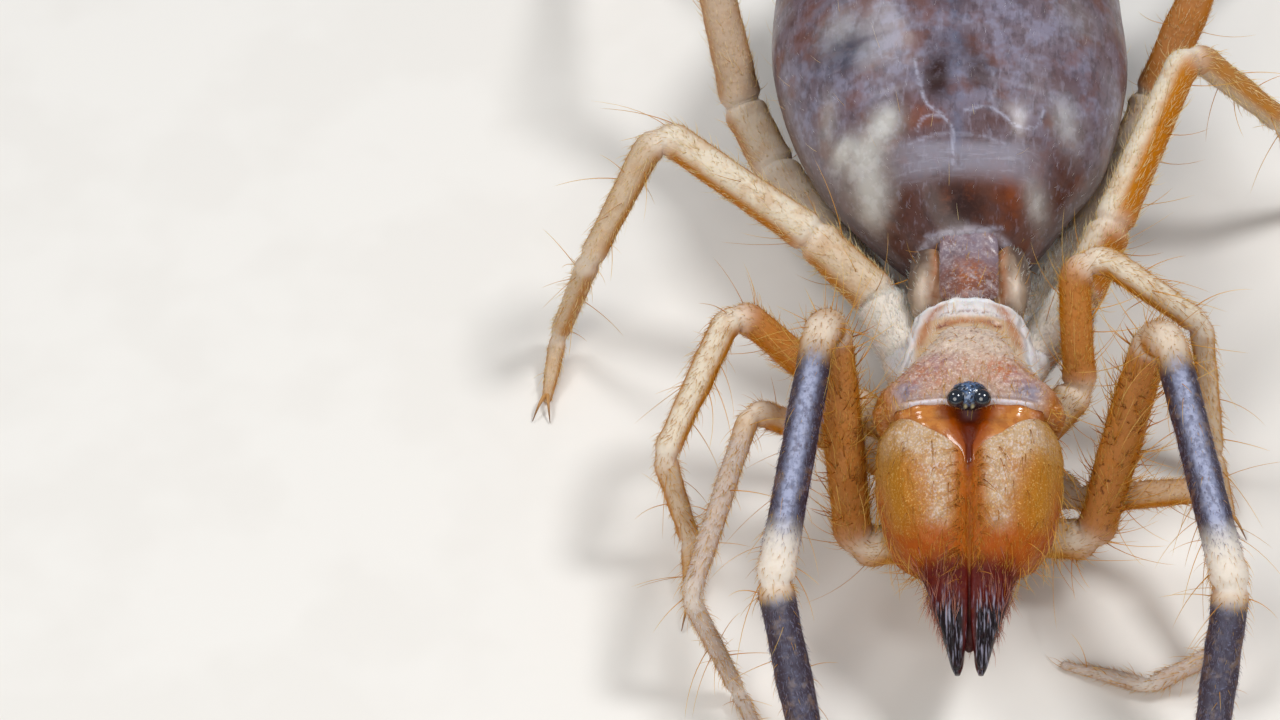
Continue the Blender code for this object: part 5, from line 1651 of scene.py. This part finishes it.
def thorax_parts():
    """The closed forms that the thorax is melted from."""
    parts = []
    for stations, fullness in ((THORAX_STATIONS, 2.6), (WAIST_STATIONS, 2.2)):
        places = places_between(stations[0][0], stations[-1][0], 0.4, 0.4)
        rings, _ = oval_rings(stations, places, 60, fullness, 0.5)
        parts.append(ring_skin("form", rings))
    parts.append(ball_skin("form", BREAST_CENTRE, BREAST_SIZE))
    parts.append(ball_skin("form", ROSTRUM_CENTRE, ROSTRUM_SIZE))
    for side in SIDES.values():
        parts.append(ball_skin("form", mirrored(FLANK_CENTRE, side), FLANK_SIZE))
    for limb, (root, _) in LIMBS.items():
        _, _, yaw, pitch, radius, _, _ = segments_of(limb)[0]
        ahead = direction(yaw, pitch)
        shares = np.linspace(0, 1, 40)
        line = np.array(root) - ahead * (COXA_LENGTH * (1 - shares))[:, None]
        swell = np.interp(shares, (0, 0.5, 1), COXA_SWELL)
        ends = np.sqrt(1 - np.clip((shares - 0.9) / 0.13, 0, 1) ** 2)
        rings = tube_rings(line, radius * swell * ends, UP, 40)
        parts.append(ring_skin("form", rings))
    return parts


def build_thorax(finishes):
    """Thorax, waist and coxae in one soft skin, with a plate on the waist."""
    points, triangles = melted("thorax_skin", thorax_parts(), MELT_VOXEL, MELT_SMOOTHING)
    lie = np.broadcast_to(np.array([0.0, 1.0, 0.0]), points.shape)
    turn = np.arctan2(points[:, 2] - 8.5, points[:, 0]) / (2 * math.pi) + 0.5
    unwrap = np.stack([turn, (points[:, 1] + 12) / 26], -1)
    skin = Skin("thorax_skin", points, triangles, lie, unwrap, {})
    waves = 0.06 * unevenness(points, 1.3, 131) + 0.02 * unevenness(points, 0.4, 132)
    x, y, z = points.T
    waist = ramp(z, 9.0, 10.2)
    skin.points = points + skin.normals * waves[:, None]
    skin.points[:, 2] = np.maximum(skin.points[:, 2], 0.0)
    behind = ramp(y, 3.0, 3.8) * waist
    beside = bump(np.abs(x), 1.95, 0.4) * behind
    bulge = spot(np.abs(x), y, (2.85, 5.2), (0.55, 1.3))
    facing_up = ramp(skin.normals[:, 2], 0.0, 0.7)
    skin.masks = {
        "pale": np.clip(0.85 * facing_up * (1 - behind) + 0.3 * bulge * behind * facing_up, 0, 1),
        "amber": np.clip(beside + 0.5 * ramp(-z, -6.0, -4.0), 0, 1),
        # under: painted shade where the skin faces down
        "under": ramp(-skin.normals[:, 2], 0.0, 0.8),
        "dusk": behind * (1 - bulge) * (1 - 0.7 * beside),
    }
    add_skin(skin, finishes["body"], ["thorax"])
    up = ramp(skin.normals[:, 2], -0.4, 0.3)
    coat(skin, "thorax_fuzz", "thorax_fuzz", 141, finishes,
         (0.35 + 0.65 * up) * (1 - 0.85 * behind))
    coat(skin, "thorax_hairs", "thorax_hairs", 142, finishes,
         (0.4 + 0.6 * up) * (1 - 0.7 * behind))
    plate = plate_skin("back_plate", PLATE_BED, FIRST_PLATE, 0.2, plate_masks)
    add_skin(plate, finishes["plate"])
    coat(plate, "back_plate_hairs", "back_plate_hairs", 151, finishes,
         ramp(plate.normals[:, 2], 0.2, 0.6), (0, 1, 0))


def belly_masks(x, y, s, groove):
    """What shows through the belly: fat, gut, blood and air tubes, as seen from above; and a
    painted dark reflection and painted shade in slate blue.
    """
    top = ramp(s, -0.1, 0.35)
    middle = x + BELLY_LEAN * ramp(y, 8.0, 20.0)
    painted = {key: spots(x, y, rows) for key, rows in BELLY_SPOTS.items()}
    brown = painted["brown"] + 0.5 * ramp(np.abs(middle), 5.5, 8.0) * ramp(y, 18, 24)
    dark = painted["dark"]
    for start, end, half in TERGITES[2:]:
        dark = dark + 0.6 * spot(middle, y, (-0.2, (start + end) / 2), (0.55 * half, 1.3), 3)
    threads = 0.0
    for clear, *route in AIR_TUBES:
        threads = np.maximum(threads, clear * thread(x, y, route, 0.09))
    band = ramp(y, 10.4, 11.8) * (1 - ramp(y - 0.02 * x**2, 12.5, 13.3))
    front = bump(y + 0.03 * x * x, 8.4, 0.2) * (np.abs(x + 0.3) < 3)
    haze = 0.1 + 0.45 * ramp(y, 12.0, 14.0) + 0.45 * ramp(y, 13.5, 17.0)
    # slate: the painted dark reflection, painted shade on the lower sides, and darker towards the rear
    slate = painted["slate"] + 0.6 * ramp(-s, -0.25, 0.5) + 0.4 * ramp(y, 30, 38)
    return {
        "brown": np.clip(brown, 0, 1) * top,
        "haze": np.clip(haze, 0, 1) * top,
        "blotch": painted["blotch"] * top,
        "rust": painted["rust"] * top,
        "dark": np.clip(dark, 0, 1) * top,
        "blue": 0.7 * bump(x + 0.02 * (y - 12), -0.65, 0.42) * ramp(y, 11.8, 13.2) * top,
        "thread": np.clip(threads, 0, 1) * top,
        "band": band * ramp(-np.abs(x + 0.2), -5.8, -2.4) * top,
        "fold": np.clip(0.1 * groove + front, 0, 1) * ramp(s, -0.6, 0.2),
        "slate": np.clip(slate, 0, 1),
    }


def build_abdomen(finishes):
    """The swollen belly: taut skin, shallow grooves between its rings, plates raised a little."""
    stations = ABDOMEN_STATIONS
    places = places_between(stations[0][0], stations[-1][0], 0.13, 0.5)
    rings, s = oval_rings(stations, places, BELLY_SIDES, 2.1, 0.8)
    x, y = rings[..., 0], rings[..., 1]
    groove = np.zeros_like(x)
    raised = np.zeros_like(x)
    for start, end, half_width in TERGITES:
        groove += bump(y + 0.012 * (x + 1.0) ** 2, end + 0.4, 0.28)
        inside = ramp(y, start, start + 0.5) * (1 - ramp(y, end - 0.5, end))
        inside = inside * (1 - ramp(np.abs(x + 0.9), half_width - 0.35, half_width + 0.15))
        raised += inside * ramp(s, 0.2, 0.6)
    lift = 0.008 * raised - 0.01 * groove * ramp(s, -0.9, -0.2)
    lift += 0.1 * unevenness(rings, 7.0, 161) + 0.005 * unevenness(rings, 1.6, 162)
    rings = rings + ring_normals(rings) * lift[..., None]
    skin = ring_skin("belly_skin", rings, belly_masks(x, y, s, groove))
    add_skin(skin, finishes["belly"], ["abdomen"])
    for k, kind in enumerate(("belly_down", "belly_hairs")):
        coat(skin, kind, kind, 171 + k, finishes)


def build_floor():
    """A plain pale floor, wide enough for every view."""
    half = FLOOR_HALF
    mesh = bpy.data.meshes.new("floor")
    corners = [(-half, -half, 0), (half, -half, 0), (half, half, 0), (-half, half, 0)]
    mesh.from_pydata(corners, [], [(0, 1, 2, 3)])
    floor = bpy.data.objects.new("floor", mesh)
    bpy.context.scene.collection.objects.link(floor)
    mottle = (("#E3E0DB", None, 0.5, 14.0, 0.6, 0.45),)
    card = cuticle("card_matt_white", "#EDEBE7", 0.7, (), None, {}, mottle)
    mesh.materials.append(card)


def aim(thing, place, target):
    """Puts a lamp or a camera at a place of the design frame, turned to a target."""
    back = unit(np.array(place, float) - np.array(target, float))
    right = unit(np.cross(UP, back))
    up = np.cross(back, right)
    matrix = np.eye(4)
    matrix[:3, :3] = np.stack([right, up, back], -1)
    matrix[:3, 3] = (np.array(place) + SHIFT) * MM
    thing.matrix_world = Matrix(matrix.tolist())


def add_lamp(name, place, target, size, watts, tint):
    lamp = bpy.data.lights.new(name, "AREA")
    lamp.shape = "DISK"
    lamp.size = size * MM
    lamp.energy = watts
    lamp.color = hex_colour(tint)[:3]
    holder = bpy.data.objects.new(name, lamp)
    bpy.context.scene.collection.objects.link(holder)
    aim(holder, place, target)


def light_studio():
    """Two soft lamps in front and one behind, in a pale room."""
    for name, place, target, size, watts, tint in LAMPS:
        add_lamp(name, place, target, size, watts, tint)
    world = bpy.data.worlds.new("pale_room")
    world.use_nodes = True
    shade = world.node_tree.nodes["Background"]
    shade.inputs["Color"].default_value = hex_colour("#E8ECF2")
    shade.inputs["Strength"].default_value = ROOM_LIGHT
    bpy.context.scene.world = world
    bpy.context.scene.view_settings.view_transform = "Standard"


def place_camera():
    """The photograph's view: from in front and above, with the eyes where its pixels have them."""
    tilt = math.radians(CAMERA_TILT)
    back = np.array([0.0, -math.cos(tilt), math.sin(tilt)])
    forward, up = -back, np.array([0.0, math.sin(tilt), math.cos(tilt)])
    right = np.cross(forward, up)
    yaw = math.atan2(PHOTO_EYES[0] - PHOTO_SIZE[0] / 2, FOCAL_PIXELS)
    pitch = math.atan2(PHOTO_EYES[1] - PHOTO_SIZE[1] / 2, FOCAL_PIXELS)
    ahead = forward * math.cos(yaw) - right * math.sin(yaw)
    right = right * math.cos(yaw) + forward * math.sin(yaw)
    forward = ahead * math.cos(pitch) + up * math.sin(pitch)
    up = up * math.cos(pitch) - ahead * math.sin(pitch)
    matrix = np.eye(4)
    matrix[:3, :3] = np.stack([right, up, -forward], -1)
    matrix[:3, 3] = (np.array(EYES_POINT) + CAMERA_DISTANCE * back + SHIFT) * MM
    lens = bpy.data.cameras.new("photo_camera")
    lens.sensor_width = SENSOR_WIDTH
    lens.lens = FOCAL_PIXELS / PHOTO_SIZE[0] * SENSOR_WIDTH
    lens.clip_start = 0.005
    lens.clip_end = 10.0
    camera = bpy.data.objects.new("photo_camera", lens)
    camera.matrix_world = Matrix(matrix.tolist())
    bpy.context.scene.collection.objects.link(camera)
    bpy.context.scene.camera = camera


def build_animal():
    finishes = make_finishes()
    build_abdomen(finishes)
    build_thorax(finishes)
    build_collar(finishes)
    build_hinge(finishes)
    build_head(finishes)
    for word in SIDES:
        build_chelicera(word, finishes)
        build_finger(word, finishes)
    build_seam(finishes)
    for limb in LIMBS:
        build_limb(limb, finishes)


build_animal()
build_floor()
light_studio()
place_camera()
